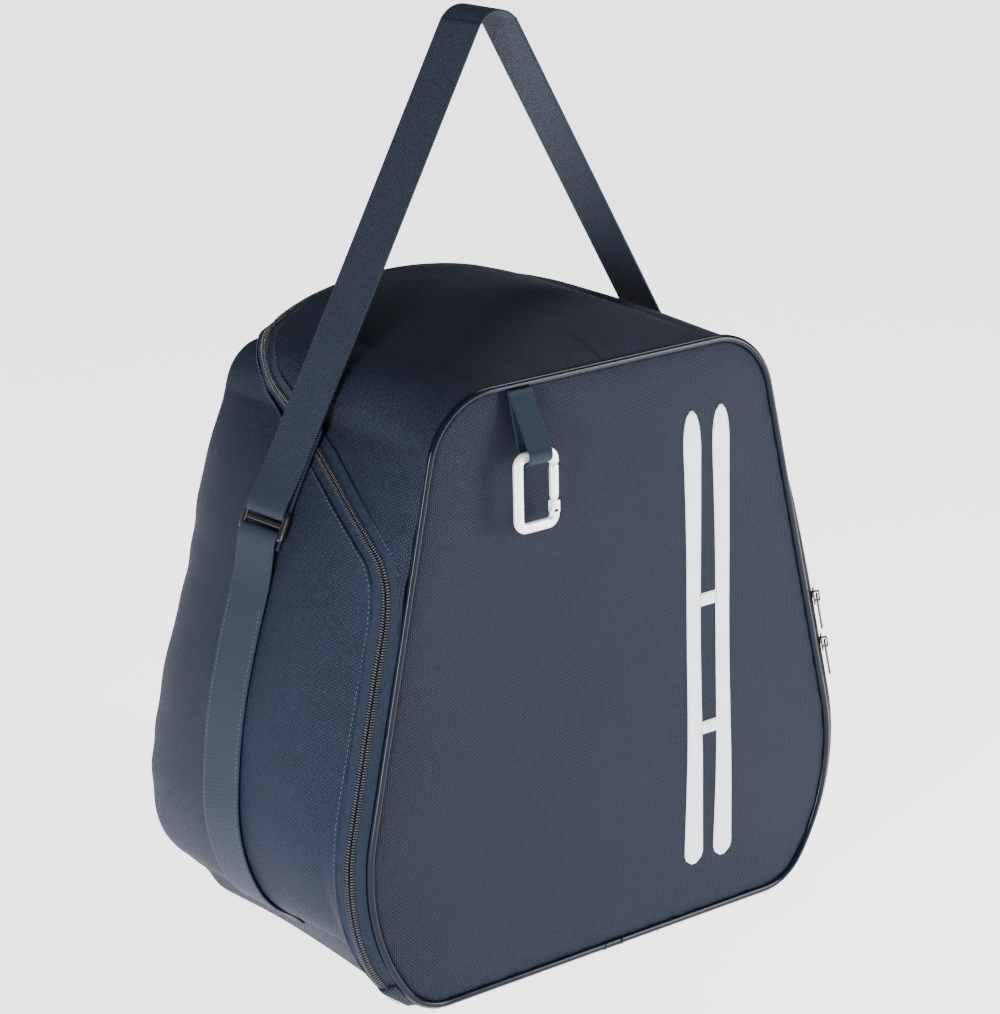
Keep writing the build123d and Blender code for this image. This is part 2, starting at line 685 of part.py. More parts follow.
def zip_slider(s):
    plate = Box(8.6, 11.0, 1.1)
    plate = fillet(plate.edges().filter_by(Axis.Z), 2.0)
    top_h = COIL_RISE + 0.6 + 0.55
    body = Pos(0, 0, top_h) * plate
    body += Pos(0, 1.5, top_h / 2 - 1.2) * Box(0.7, 5.0, top_h + 2.4)
    body += Pos(-2.0, 0, -TAPE - 1.0 - 0.5) * Box(4.7, 9.0, 1.0)
    base = top_h + 0.55
    for k in (-1, 1):
        body += Pos(0, k * 3.4, base + 1.3) * Box(1.5, 1.0, 2.8)
    body += Pos(0, 0, base + 3.1) * Box(1.5, 7.8, 1.0)
    return slider_plane(s) * body


def zip_pull(s):
    top_h = COIL_RISE + 0.6 + 1.1
    pin_h = top_h + 1.35
    body = Pos(0, 0, pin_h) * Rot(0, 90, 0) * Cylinder(0.7, 6.0)
    for k in (-1, 1):
        body += Pos(k * 2.05, -3.2, pin_h) * Box(1.7, 6.6, 1.4)
    plate = Box(7.0, 20.0, 1.4)
    plate = fillet(plate.edges().filter_by(Axis.Z), 2.4)
    body += Pos(0, -15.2, pin_h) * plate
    return slider_plane(s) * body


def main():
    os.makedirs("parts", exist_ok=True)
    pieces = shell_pieces()
    pieces["back_panel"] = back_panel()
    pieces["front_panel"] = front_panel()
    pieces["front_piping"] = front_piping()
    pieces["piping_joint"] = piping_joint()
    pieces["binding_front"] = seam_binding(FRONT_Y + 2.0, FRONT_Y + 3.6, True)
    pieces["binding_back"] = seam_binding(BACK_Y - PANEL - 2.0, BACK_Y - PANEL - 0.2, False)
    pieces["base_board"] = base_board()
    pieces["front_print"] = front_print()
    pieces["zip_tape_flap"] = zip_tape_flap()
    pieces["zip_tape_body"] = zip_tape_body()
    pieces["zip_coil_flap"] = zip_coil_flap()
    pieces["zip_coil_body"] = zip_coil_body()
    pieces["zip_end_left"] = zip_end_tab(-1)
    pieces["zip_end_right"] = zip_end_tab(1)
    pieces["side_webbing_left"] = side_webbing_left()
    pieces["side_webbing_right"] = side_webbing_right()
    pieces["strap_slider"] = strap_slider()
    pieces["strap_leg_left"] = strap_leg_left()
    pieces["strap_leg_right"] = strap_leg_right()
    pieces["strap_root_left"] = strap_root(-1)
    pieces["strap_root_right"] = strap_root(1)
    pieces["strap_loop"] = strap_loop()
    pieces["hanger_loop"] = hanger_loop()
    pieces["carabiner_body"] = carabiner_body()
    pieces["carabiner_gate"] = carabiner_gate()
    pieces["carabiner_pin"] = carabiner_pin()
    pieces["zip_slider_a"] = zip_slider(SLIDER_A_AT)
    pieces["zip_slider_b"] = zip_slider(SLIDER_B_AT)
    pieces["zip_pull_a"] = zip_pull(SLIDER_A_AT)
    pieces["zip_pull_b"] = zip_pull(SLIDER_B_AT)
    for name, shape in pieces.items():
        export_step(shape, f"parts/{name}.step")


if __name__ == "__main__":
    main()
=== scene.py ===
"""Looks of the ski boot bag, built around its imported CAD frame.

The frame is in metres; shapes here are worked out in millimetres and scaled once, in make_mesh().
+Z is up and the front panel faces -Y.
"""

import json
from math import asin, atan2, cos, exp, hypot, pi, radians, sin, sqrt

import bmesh
import bpy
from mathutils import Matrix, Vector


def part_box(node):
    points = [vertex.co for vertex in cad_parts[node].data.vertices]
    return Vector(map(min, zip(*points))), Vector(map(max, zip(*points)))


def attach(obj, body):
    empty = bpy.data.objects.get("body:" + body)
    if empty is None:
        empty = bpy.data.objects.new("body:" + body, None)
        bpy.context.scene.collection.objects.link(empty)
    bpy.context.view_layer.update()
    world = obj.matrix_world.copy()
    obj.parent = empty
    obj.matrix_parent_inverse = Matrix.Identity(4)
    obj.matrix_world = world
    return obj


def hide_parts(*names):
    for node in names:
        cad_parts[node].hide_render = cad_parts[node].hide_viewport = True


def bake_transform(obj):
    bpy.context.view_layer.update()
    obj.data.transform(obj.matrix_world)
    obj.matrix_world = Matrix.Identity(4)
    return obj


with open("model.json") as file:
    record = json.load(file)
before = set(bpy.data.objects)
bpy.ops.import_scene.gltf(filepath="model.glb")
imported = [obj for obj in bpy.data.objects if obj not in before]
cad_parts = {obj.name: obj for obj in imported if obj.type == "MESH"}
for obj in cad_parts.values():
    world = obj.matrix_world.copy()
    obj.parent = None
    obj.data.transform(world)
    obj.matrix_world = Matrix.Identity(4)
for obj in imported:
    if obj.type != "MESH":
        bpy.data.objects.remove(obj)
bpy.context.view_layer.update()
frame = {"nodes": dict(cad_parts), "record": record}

MM = 0.001
record = frame["record"]
joints = {j["name"]: j for j in record["behaviour"]["joints"]}


def node_box(name):
    """Lowest and highest corner of a CAD node, in millimetres."""
    lo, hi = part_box(name)
    return Vector(lo) / MM, Vector(hi) / MM


def joint_at(name):
    return Vector(joints[name]["pos_m"]) / MM


# ---- driving sizes
pipe_lo, pipe_hi = node_box("front_piping")
PIPE_RADIUS = (pipe_hi.y - pipe_lo.y) / 2
FRONT_Y = (pipe_hi.y + pipe_lo.y) / 2
BACK_Y = node_box("back_panel")[1].y
LIFT = pipe_lo.z + PIPE_RADIUS
HEIGHT = pipe_hi.z - pipe_lo.z - 2 * PIPE_RADIUS
DEPTH = BACK_Y - FRONT_Y
SIDE_LEAN = 12.66
SIDE_HALF_WIDTH = 179.3
SIDE_LEVEL = 200.0
TOP_RADIUS = 48.9
LOW_RADIUS = 40.9
FLANK_RADIUS = 137.3
FLANK_TURN = 48.65
SIDE_PUFF = 35.0
SIDE_PUFF_LEVEL = 200.0
SIDE_PUFF_BELOW = 160.0
SIDE_PUFF_ABOVE = 165.0
TOP_PUFF = 17.0
PUFF_POWER = 0.6
REAR_SHOULDER_TUCK = 14.0
REAR_SIDE_TUCK = 9.5
REAR_SIDE_LEVEL = 252.0
LOW_EDGE_TUCK = 13.5
LOW_EDGE_AT = 176.0
LOW_EDGE_REACH = 62.0
CROWN = 23.0
CROWN_POWER = 1.4
CROWN_FADE = 45.0
CROWN_ROUND = 35.0
CROWN_FALL = 53.0
CROWN_REST = 0.15
SEAM_STEP = 1.0
EDGE_UV = 0.4               # how much of its height a swept edge adds to the weave's width
FLOOR_DROP = 4.4
ZIP_START = 186.0            # outline length where the zip begins
ZIP_Y = -112.5
END_TAB = 13.0               # fabric left whole below the zip's start
CLOTH = 1.6                  # thickness of the gusset fabric
PANEL_CLOTH = 1.8
FLAP_TAPE_EDGE = 10.4
BODY_TAPE_EDGE = 11.3
FOLD_EDGE = 8.9              # where the folded fabric edge lies on the zip tape
WEB = 1.5
WEB_LIFT = 2.5
WEB_FOOT = 196.0
STRAP_WIDTH = node_box("strap_loop")[1].y - node_box("strap_loop")[0].y
STRAP_THICK = 1.8
STRAP_FOOT_X = 186.0
STRAP_FOOT_Z = 310.2
STRAP_SLOPE = 0.57
STRAP_TOP_RADIUS = 19.0
GLIDE_LEVEL = 472.0
GLIDE_LIFT = 4.8
GLIDE_WIDTH = 47.0
GLIDE_HEIGHT = 19.5
GLIDE_BAR = 3.6
GLIDE_THICK = 2.4
GLIDE_SLOT = 4.1
GAP = 0.3
LOOP_THICK = 1.5
X_AXIS = Vector((1, 0, 0))
Y_AXIS = Vector((0, 1, 0))
TO_FRONT = Vector((0, -1, 0))

# ---- bag shape
lean = radians(SIDE_LEAN)
flank_turn = radians(FLANK_TURN)
low_turn = pi / 2 + lean - flank_turn
top_turn = pi / 2 - lean
side_n = (cos(lean), sin(lean))
top_cz = HEIGHT - TOP_RADIUS
side_x0 = SIDE_HALF_WIDTH + SIDE_LEVEL * side_n[1] / side_n[0]
top_cx = side_x0 - top_cz * side_n[1] / side_n[0] - TOP_RADIUS / side_n[0]
join_a = low_turn - pi / 2
low_dx = (LOW_RADIUS - FLANK_RADIUS) * cos(join_a)
low_dz = (LOW_RADIUS - FLANK_RADIUS) * sin(join_a)
flank_cz = LOW_RADIUS + low_dz
flank_cx = side_x0 - flank_cz * side_n[1] / side_n[0] - FLANK_RADIUS / side_n[0]
low_cx = flank_cx - low_dx
LEN_FLOOR = low_cx
LEN_LOW = LEN_FLOOR + LOW_RADIUS * low_turn
LEN_FLANK = LEN_LOW + FLANK_RADIUS * flank_turn
side_start = (flank_cx + FLANK_RADIUS * side_n[0], flank_cz + FLANK_RADIUS * side_n[1])
side_end = (top_cx + TOP_RADIUS * side_n[0], top_cz + TOP_RADIUS * side_n[1])
LEN_SIDE = LEN_FLANK + hypot(side_end[0] - side_start[0], side_end[1] - side_start[1])
LEN_CORNER = LEN_SIDE + TOP_RADIUS * top_turn
LEN_ALL = LEN_CORNER + top_cx


def outline(s):
    """Point and outward direction at length s along the right half of the front outline."""
    if s <= LEN_FLOOR:
        return s, 0.0, 0.0, -1.0
    if s <= LEN_LOW:
        a = (s - LEN_FLOOR) / LOW_RADIUS - pi / 2
        return low_cx + LOW_RADIUS * cos(a), LOW_RADIUS + LOW_RADIUS * sin(a), cos(a), sin(a)
    if s <= LEN_FLANK:
        a = (s - LEN_LOW) / FLANK_RADIUS + join_a
        return flank_cx + FLANK_RADIUS * cos(a), flank_cz + FLANK_RADIUS * sin(a), cos(a), sin(a)
    if s <= LEN_SIDE:
        t = s - LEN_FLANK
        return side_start[0] - t * side_n[1], side_start[1] + t * side_n[0], side_n[0], side_n[1]
    if s <= LEN_CORNER:
        a = (s - LEN_SIDE) / TOP_RADIUS + lean
        return top_cx + TOP_RADIUS * cos(a), top_cz + TOP_RADIUS * sin(a), cos(a), sin(a)
    return max(0.0, LEN_ALL - s), HEIGHT, 0.0, 1.0


# path of the zip as (length along the half outline, y)
ZIP_KNOTS = [
    (ZIP_START, ZIP_Y), (240.0, ZIP_Y), (300.0, ZIP_Y), (350.0, ZIP_Y), (400.0, ZIP_Y), (430.0, -112.2),
    (448.0, -110.0), (460.0, -106.0), (472.0, -97.5), (491.0, -73.0), (513.0, -36.0), (532.0, 8.0),
    (550.0, 48.0), (566.0, 70.0), (585.0, 90.0), (606.0, 101.0), (630.0, 104.5), (660.0, 105.0),
    (LEN_ALL, 105.0),
]


def ease(t):
    """Smooth step from 0 to 1."""
    t = min(1.0, max(0.0, t))
    return t * t * (3 - 2 * t)


def zip_level(s):
    """y of the zip at length s along the outline."""
    for (s0, y0), (s1, y1) in zip(ZIP_KNOTS[:-1], ZIP_KNOTS[1:]):
        if s <= s1:
            return y0 + (y1 - y0) * max(0.0, s - s0) / (s1 - s0)
    return ZIP_KNOTS[-1][1]


def crown(s, y):
    """Rise of the zipped top: it grows towards the back and rounds off at the zip."""
    start = zip_level(s) - CROWN_ROUND
    t = min(1.0, max(0.0, (y - start) / min(BACK_Y + 3.0 - start, CROWN_FALL)))
    rise = max(0.0, (y + BACK_Y) / DEPTH) ** CROWN_POWER
    drop = CROWN_REST + (1 - CROWN_REST) * (1 - t**2.2) ** 0.6
    return CROWN * rise * drop * ease((s - LEN_SIDE + 5.0) / CROWN_FADE)


def fullness(s, y):
    """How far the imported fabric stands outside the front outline."""
    x, z, nx, nz = outline(s)
    fall = max(0.0, 1 - (y / BACK_Y) ** 2) ** PUFF_POWER
    if s <= LEN_CORNER:
        reach = SIDE_PUFF_BELOW if z < SIDE_PUFF_LEVEL else SIDE_PUFF_ABOVE
        side = max(0.0, 1 - ((z - SIDE_PUFF_LEVEL) / reach) ** 2) ** 0.8
        lip = 1 - exp(-((z / 22.0) ** 2)) if z < SIDE_PUFF_LEVEL else side
        near = min(1.0, max(0.0, (-y - 90.0) / 22.0))
        puff = SIDE_PUFF * fall * (side + (lip - side) * near)
    else:
        puff = TOP_PUFF * fall * max(0.0, 1 - (x / top_cx) ** 2) ** 0.8
    step = SEAM_STEP
    if s <= LEN_FLOOR:
        step = FLOOR_DROP
    elif s <= LEN_LOW:
        t = (s - LEN_FLOOR) / (LEN_LOW - LEN_FLOOR)
        step = FLOOR_DROP + (SEAM_STEP - FLOOR_DROP) * t
    rear = ((y + BACK_Y) / DEPTH) ** 2
    tuck = REAR_SHOULDER_TUCK * rear * exp(-(((z - 372.0) / 55.0) ** 2))
    if s > LEN_CORNER:
        tuck *= (x / top_cx) ** 2
    else:
        tuck += REAR_SIDE_TUCK * rear * exp(-(((z - REAR_SIDE_LEVEL) / 60.0) ** 2))
    if abs(s - LOW_EDGE_AT) < LOW_EDGE_REACH:
        low = cos(pi / 2 * (s - LOW_EDGE_AT) / LOW_EDGE_REACH) ** 2
        tuck += LOW_EDGE_TUCK * low * ease((y + 115.0) / 190.0)
    return step + puff - tuck + crown(s, y)


def skin(s, y, off=0.0, side=1):
    """Point on the bag fabric; side +1 is the right half, -1 the left half."""
    x, z, nx, nz = outline(s)
    d = fullness(s, y) + off
    return Vector((side * (x + nx * d), y, max(0.0, LIFT + z + nz * d)))


def smooth_path(knots, step):
    """Points spaced evenly on a smooth curve through the knots."""
    pts = [knots[0]] + list(knots) + [knots[-1]]
    dense = []
    for i in range(1, len(pts) - 2):
        p0, p1, p2, p3 = pts[i - 1], pts[i], pts[i + 1], pts[i + 2]
        for k in range(16):
            t = k / 16
            q = []
            for a, b, c, d in zip(p0, p1, p2, p3):
                q.append(b + 0.5 * t * (c - a + t * (2 * a - 5 * b + 4 * c - d + t * (3 * (b - c) + d - a))))
            dense.append(q)
    dense.append(list(knots[-1]))
    return even(dense, step)


def even(dense, step):
    """The polyline dense, redrawn with points at even spacing."""
    run = [0.0]
    for p, q in zip(dense[:-1], dense[1:]):
        run.append(run[-1] + sqrt(sum((a - b) ** 2 for a, b in zip(p, q))))
    count = max(2, round(run[-1] / step))
    out = []
    j = 0
    for k in range(count + 1):
        want = run[-1] * k / count
        while j < len(run) - 2 and run[j + 1] < want:
            j += 1
        t = min(1.0, (want - run[j]) / max(1e-9, run[j + 1] - run[j]))
        out.append(tuple(a + (b - a) * t for a, b in zip(dense[j], dense[j + 1])))
    return out


zip_line = smooth_path(ZIP_KNOTS, 2.0)


def zip_y(s):
    """Where the zip crosses the outline length s, and its slope there."""
    for (s0, y0), (s1, y1) in zip(zip_line[:-1], zip_line[1:]):
        if s <= s1:
            t = (s - s0) / max(1e-6, s1 - s0)
            return y0 + (y1 - y0) * t, (y1 - y0) / max(1e-6, s1 - s0)
    return zip_line[-1][1], 0.0


def walk(s, y, distance, direction):
    """The y reached from y by going a distance over the fabric at constant s."""
    p = skin(s, y)
    gone = 0.0
    step = 0.4 * direction
    while gone < distance and FRONT_Y < y + step < BACK_Y:
        y += step
        q = skin(s, y)
        gone += (q - p).length
        p = q
    return y


def zip_frame(path, i, side, lean_to):
    """Point, across and outward on the zip; lean_to -1 follows the flap side, +1 the body side."""
    s, y = path[i]
    s0, y0 = path[max(0, i - 1)]
    s1, y1 = path[min(len(path) - 1, i + 1)]
    last = i == len(path) - 1
    ds, dy = (1.0, 0.0) if last else (s1 - s0, y1 - y0)
    size = hypot(ds, dy)
    ds, dy = ds / size, dy / size
    reach = 8.0
    p = skin(s, y, 0, side)
    q = skin(min(LEN_ALL, s - dy * reach * lean_to), max(FRONT_Y, y + ds * reach * lean_to), 0, side)
    t = skin(min(LEN_ALL, s + ds), y + dy, 0, side) - skin(s - ds, y - dy, 0, side)
    if last:
        t = Vector((-side, 0, 0))
        q = skin(LEN_ALL, y + reach * lean_to, 0, side)
    t.normalize()
    across = (q - p) * lean_to
    across = (across - t * across.dot(t)).normalized()
    return p, across, (across.cross(t) * side).normalized()


def zip_frames(lean_to, step):
    path = even(zip_line, step)
    left = [zip_frame(path, i, -1, lean_to) for i in range(len(path))]
    right = [zip_frame(path, i, 1, lean_to) for i in range(len(path) - 1)]
    return left + right[::-1]


# ---- mesh helpers
def make_mesh(name, verts, faces, material, uvs=None, smooth=True):
    """Object from millimetre points; uvs are millimetres too, one for each vertex."""
    mesh = bpy.data.meshes.new(name)
    mesh.from_pydata([tuple(Vector(v) * MM) for v in verts], [], faces)
    if uvs:
        layer = mesh.uv_layers.new(name="UVMap")
        for loop in mesh.loops:
            layer.data[loop.index].uv = uvs[loop.vertex_index]
    mesh.polygons.foreach_set("use_smooth", [smooth] * len(mesh.polygons))
    mesh.materials.append(material)
    mesh.update()
    obj = bpy.data.objects.new(name, mesh)
    bpy.context.scene.collection.objects.link(obj)
    return obj


def grid_faces(rows, cols, close_rows=False, close_cols=False, first=0, flip=False):
    faces = []
    for i in range(rows if close_rows else rows - 1):
        for j in range(cols if close_cols else cols - 1):
            a = first + i * cols + j
            b = first + i * cols + (j + 1) % cols
            c = first + ((i + 1) % rows) * cols + (j + 1) % cols
            d = first + ((i + 1) % rows) * cols + j
            faces.append((a, d, c, b) if flip else (a, b, c, d))
    return faces


def thicken(obj, mm):
    """Turns a sheet into a closed shell; the thickness goes inwards."""
    mod = obj.modifiers.new("thickness", "SOLIDIFY")
    mod.thickness = mm * MM
    mod.offset = -1.0
    mod.use_rim = True
    mod.use_even_offset = False


def sweep(name, frames, ring, material, closed=False):
    """Solid of cross-section ring, (across, outward) points, carried along frames."""
    verts, uvs = [], []
    along = 0.0
    previous = None
    for p, a, n in frames:
        if previous is not None:
            along += (p - previous).length
        previous = p
        for k, (x, h) in enumerate(ring):
            verts.append(p + a * x + n * h)
            uvs.append((along, x + EDGE_UV * h))
    count = len(ring)
    faces = grid_faces(len(frames), count, closed, True, 0, True)
    if not closed:
        faces += end_caps(len(frames), count)
    return solid(name, verts, faces, material, uvs)


def end_caps(rows, cols, first=0):
    """The two end faces of a tube of rows x cols vertices."""
    last = first + (rows - 1) * cols
    return [tuple(range(first, first + cols)), tuple(range(last, last + cols))[::-1]]


def solid(name, verts, faces, material, uvs=None):
    """Closed mesh with all its faces turned outwards."""
    obj = make_mesh(name, verts, faces, material, uvs)
    bm = bmesh.new()
    bm.from_mesh(obj.data)
    bmesh.ops.recalc_face_normals(bm, faces=bm.faces)
    bm.to_mesh(obj.data)
    bm.free()
    return obj


def rounded_box(a0, a1, h0, h1, r, steps=3, split=6):
    """Rounded rectangle cross-section; split cuts each of its two long edges into that many pieces."""
    out = []
    corners = [(a1 - r, h1 - r, 0), (a0 + r, h1 - r, 90), (a0 + r, h0 + r, 180), (a1 - r, h0 + r, 270)]
    for cx, ch, start in corners:
        for k in range(steps + 1):
            ang = radians(start + 90 * k / steps)
            out.append((cx + r * cos(ang), ch + r * sin(ang)))
        if split and start in (0, 180):
            sign = -1 if start == 0 else 1
            edge = h1 if start == 0 else h0
            width = (a1 - a0) - 2 * r
            for k in range(1, split):
                x = (a1 - r) - width * k / split if start == 0 else (a0 + r) + width * k / split
                out.append((x, edge))
    return out


def circle_ring(r, count=14):
    return [(r * cos(2 * pi * k / count), r * sin(2 * pi * k / count)) for k in range(count)]


def capsule(verts, faces, p, along, normal, length, width, height):
    """Adds one thread stitch: a small arched bead lying on the fabric."""
    side = along.cross(normal).normalized()
    base = len(verts)
    rows = 5
    for i in range(rows):
        t = -1 + 2 * i / (rows - 1)
        grow = sqrt(max(0.0, 1 - abs(t) ** 3)) * 0.85 + 0.15
        lift = height * (1 - t * t * 0.9) - 0.25
        for k in range(6):
            ang = 2 * pi * k / 6
            verts.append(
                p + along * (t * length / 2)
                + side * (cos(ang) * width / 2 * grow)
                + normal * (lift + sin(ang) * width / 2 * grow * 0.8)
            )
    faces += grid_faces(rows, 6, False, True, base, True) + end_caps(rows, 6, base)


def stitch_row(name, path, material, pitch=3.4, length=2.5, width=0.55, height=0.35):
    """Row of stitches along path, a list of (point, outward)."""
    verts, faces = [], []
    dense = [tuple(p) + tuple(n) for p, n in path]
    run = 0.0
    target = pitch / 2
    for a, b in zip(dense[:-1], dense[1:]):
        pa, pb = Vector(a[:3]), Vector(b[:3])
        size = (pb - pa).length
        while size > 0 and target <= run + size:
            t = (target - run) / size
            n = Vector(a[3:]).lerp(Vector(b[3:]), t).normalized()
            capsule(verts, faces, pa.lerp(pb, t), (pb - pa).normalized(), n, length, width, height)
            target += pitch
        run += size
    return solid(name, verts, faces, material)


def join(name, *objs):
    """Joins small meshes of one body into one piece."""
    bpy.ops.object.select_all(action="DESELECT")
    for o in objs:
        o.select_set(True)
    bpy.context.view_layer.objects.active = objs[0]
    bpy.ops.object.join()
    objs[0].name = name
    objs[0].data.name = name
    return objs[0]


# ---- materials
def new_material(name):
    m = bpy.data.materials.new(name)
    m.use_nodes = True
    nodes = m.node_tree.nodes
    nodes.clear()
    out = nodes.new("ShaderNodeOutputMaterial")
    bsdf = nodes.new("ShaderNodeBsdfPrincipled")
    m.node_tree.links.new(bsdf.outputs["BSDF"], out.inputs["Surface"])
    return m, Wire(nodes, m.node_tree.links), bsdf


def set_sockets(bsdf, **values):
    """Sets constants on the shader; an underscore in a name stands for the space in the socket's name."""
    for name, value in values.items():
        bsdf.inputs[name.replace("_", " ")].default_value = value


class Wire:
    """Short way to write node maths."""

    def __init__(self, nodes, links):
        self.nodes, self.links = nodes, links

    def put(self, kind, **values):
        """New node with constants on its sockets."""
        n = self.nodes.new("ShaderNode" + kind)
        set_sockets(n, **values)
        return n

    def math(self, op, a, b=None, clamp=False):
        n = self.put("Math")
        n.operation = op
        n.use_clamp = clamp
        for k, v in enumerate((a, b)):
            if v is None:
                continue
            if isinstance(v, (int, float)):
                n.inputs[k].default_value = v
            else:
                self.links.new(v, n.inputs[k])
        return n.outputs[0]

    def add(self, a, b, clamp=False):
        return self.math("ADD", a, b, clamp)

    def mul(self, a, b, clamp=False):
        return self.math("MULTIPLY", a, b, clamp)

    def uv(self):
        """u, v and the place on the object."""
        n = self.put("TexCoord")
        s = self.put("SeparateXYZ")
        self.links.new(n.outputs["UV"], s.inputs[0])
        return s.outputs[0], s.outputs[1], n.outputs["Object"]

    def noise(self, vector, scale, detail=2.0, rough=0.5):
        n = self.put("TexNoise", Scale=scale, Detail=detail, Roughness=rough)
        self.links.new(vector, n.inputs["Vector"])
        return n.outputs["Fac"]

    def mix(self, fac, a, b, mode="MIX"):
        n = self.put("Mix")
        n.data_type = "RGBA"
        n.blend_type = mode
        for sock, v in ((n.inputs[0], fac), (n.inputs[6], a), (n.inputs[7], b)):
            if isinstance(v, (int, float)):
                sock.default_value = v
            elif isinstance(v, tuple):
                sock.default_value = (*v, 1)
            else:
                self.links.new(v, sock)
        return n.outputs[2]

    def bump(self, bsdf, height, strength, distance):
        n = self.put("Bump", Strength=strength, Distance=distance)
        self.links.new(height, n.inputs["Height"])
        self.links.new(n.outputs["Normal"], bsdf.inputs["Normal"])

    def slub(self, vector, scale):
        """Uneven thread: 0 where it is thin and dull, 1 where it is thick."""
        return self.add(self.mul(self.noise(vector, scale, 2.0, 0.7), 3.0), -1.0, True)

    def cloth_finish(self, bsdf, colour, slub, rough, height, depth):
        """What every cloth shares: colour, roughness by thread, faint sheen and relief."""
        self.links.new(colour, bsdf.inputs["Base Color"])
        self.links.new(self.add(rough, self.mul(slub, 0.2)), bsdf.inputs["Roughness"])
        set_sockets(bsdf, Sheen_Weight=0.03, Sheen_Roughness=0.4)
        self.bump(bsdf, height, 0.9, depth * MM)


WOVEN_ROUGH = 0.62 - 0.08
TWILL_ROUGH = 0.6 - 0.1


def grey(value):
    return value, value, value


def woven(name, gap_shade, crown_colour, pitch, depth, tint=None):
    """Plain weave on UVs in millimetres, with painted shade in the gaps between threads, painted highlights
    on the crossings and slow colour drift.
    """
    m, w, bsdf = new_material(name)
    u, v, obj = w.uv()
    wob = w.noise(obj, 60.0, 2.0)
    uu = w.add(w.mul(u, pi / pitch), w.mul(wob, 0.8))
    vv = w.add(w.mul(v, pi / pitch), w.mul(wob, -0.8))
    a, b = w.math("SINE", uu), w.math("SINE", vv)
    over = w.math("GREATER_THAN", w.mul(a, b), 0.0)
    aa, ab = w.math("ABSOLUTE", a), w.math("ABSOLUTE", b)
    warp = w.mul(w.math("POWER", aa, 0.6), w.math("POWER", ab, 0.25))
    weft = w.mul(w.math("POWER", ab, 0.6), w.math("POWER", aa, 0.25))
    hi = w.mul(warp, over)
    lo = w.mul(weft, w.math("SUBTRACT", 1.0, over))
    height = w.add(hi, w.mul(lo, 0.72))
    drift = w.noise(obj, 7.0, 3.0, 0.6)
    slub = w.slub(obj, 420.0)
    # painted shade and highlight: near black in the gaps between threads, lighter on the thread crossings
    base = w.mix(w.math("POWER", height, 2.1), gap_shade, crown_colour)
    if tint:
        patches = w.mul(w.math("SUBTRACT", drift, 0.40, True), 1.5, True)
        base = w.mix(patches, base, tint)
    base = w.mix(0.6, base, w.mix(slub, grey(0.25), grey(1.0)), "MULTIPLY")
    w.cloth_finish(bsdf, base, slub, WOVEN_ROUGH, height, depth)
    set_sockets(bsdf, Sheen_Tint=(0.55, 0.62, 0.85, 1), Specular_IOR_Level=0.10)
    return m


def twill(name, gap_shade, crown_colour, pitch, depth, slant=0.55):
    """Webbing: slanted rows of thread over fine lengthwise ribs, with painted shade between the rows."""
    m, w, bsdf = new_material(name)
    u, v, obj = w.uv()
    wob = w.mul(w.noise(obj, 80.0, 2.0), 1.1)
    rows = w.add(w.mul(u, pi / pitch), w.mul(v, pi * slant / pitch))
    rows = w.math("ABSOLUTE", w.math("SINE", w.add(rows, wob)))
    ribs = w.math("ABSOLUTE", w.math("SINE", w.mul(v, pi / 1.05)))
    height = w.mul(w.math("POWER", rows, 0.7), w.add(0.55, w.mul(ribs, 0.45)))
    slub = w.slub(obj, 500.0)
    drift = w.noise(obj, 9.0, 2.0)
    # painted shade: near black between the rows of thread, the webbing's colour on their tops
    base = w.mix(w.math("POWER", height, 1.4), gap_shade, crown_colour)
    base = w.mix(0.55, base, w.mix(slub, grey(0.3), grey(1.0)), "MULTIPLY")
    base = w.mix(w.mul(drift, 0.35), base, tuple(c * 0.6 for c in crown_colour))
    w.cloth_finish(bsdf, base, slub, TWILL_ROUGH, height, depth)
    set_sockets(bsdf, Sheen_Tint=(0.6, 0.68, 0.9, 1), Specular_IOR_Level=0.12)
    return m


def plastic(name, colour, rough, coat=0.0, metallic=0.0, scratch=0.15, bump=0.02, shine=0.5):
    """Moulded or lacquered surface with faint unevenness and handling marks."""
    m, w, bsdf = new_material(name)
    obj = w.uv()[2]
    fine = w.noise(obj, 900.0, 3.0, 0.6)
    slow = w.noise(obj, 40.0, 2.0)
    dim = tuple(c * 0.8 for c in colour)
    w.links.new(w.mix(slow, dim, colour), bsdf.inputs["Base Color"])
    marks = w.add(rough - scratch / 2, w.mul(fine, scratch))
    w.links.new(marks, bsdf.inputs["Roughness"])
    set_sockets(bsdf, Metallic=metallic, Coat_Weight=coat, Specular_IOR_Level=shine, Coat_Roughness=0.08)
    w.bump(bsdf, fine, 0.3, bump * MM)
    return m


# the first colour of each woven and twill cloth below is painted shade for the gaps between its threads
NAVY_GAP_SHADE = (0.0015, 0.0022, 0.005)
NAVY_LIGHT = (0.036, 0.051, 0.092)
FRONT_LIGHT = (0.036, 0.049, 0.083)
WEB_LIGHT = (0.036, 0.049, 0.082)
bag_cloth = woven("bag_cloth", NAVY_GAP_SHADE, NAVY_LIGHT, 1.35, 0.3, (0.022, 0.026, 0.055))
front_cloth = woven("front_cloth", NAVY_GAP_SHADE, FRONT_LIGHT, 1.35, 0.34, (0.019, 0.021, 0.040))
TAPE_LIGHT = (0.034, 0.047, 0.082)
tape_cloth = woven("tape_cloth", (0.004, 0.008, 0.018), TAPE_LIGHT, 0.55, 0.1, (0.018, 0.028, 0.054))
strap_cloth = twill("strap_cloth", (0.0007, 0.001, 0.003), WEB_LIGHT, 1.75, 0.4)
side_web_cloth = twill("side_web_cloth", (0.003, 0.005, 0.011), WEB_LIGHT, 0.9, 0.2, 0.3)
loop_cloth = twill("loop_cloth", (0.001, 0.003, 0.006), (0.024, 0.042, 0.072), 1.6, 0.3, 0.8)
binding_cloth = woven("binding_cloth", (0.004, 0.004, 0.006), (0.03, 0.03, 0.04), 0.8, 0.1)
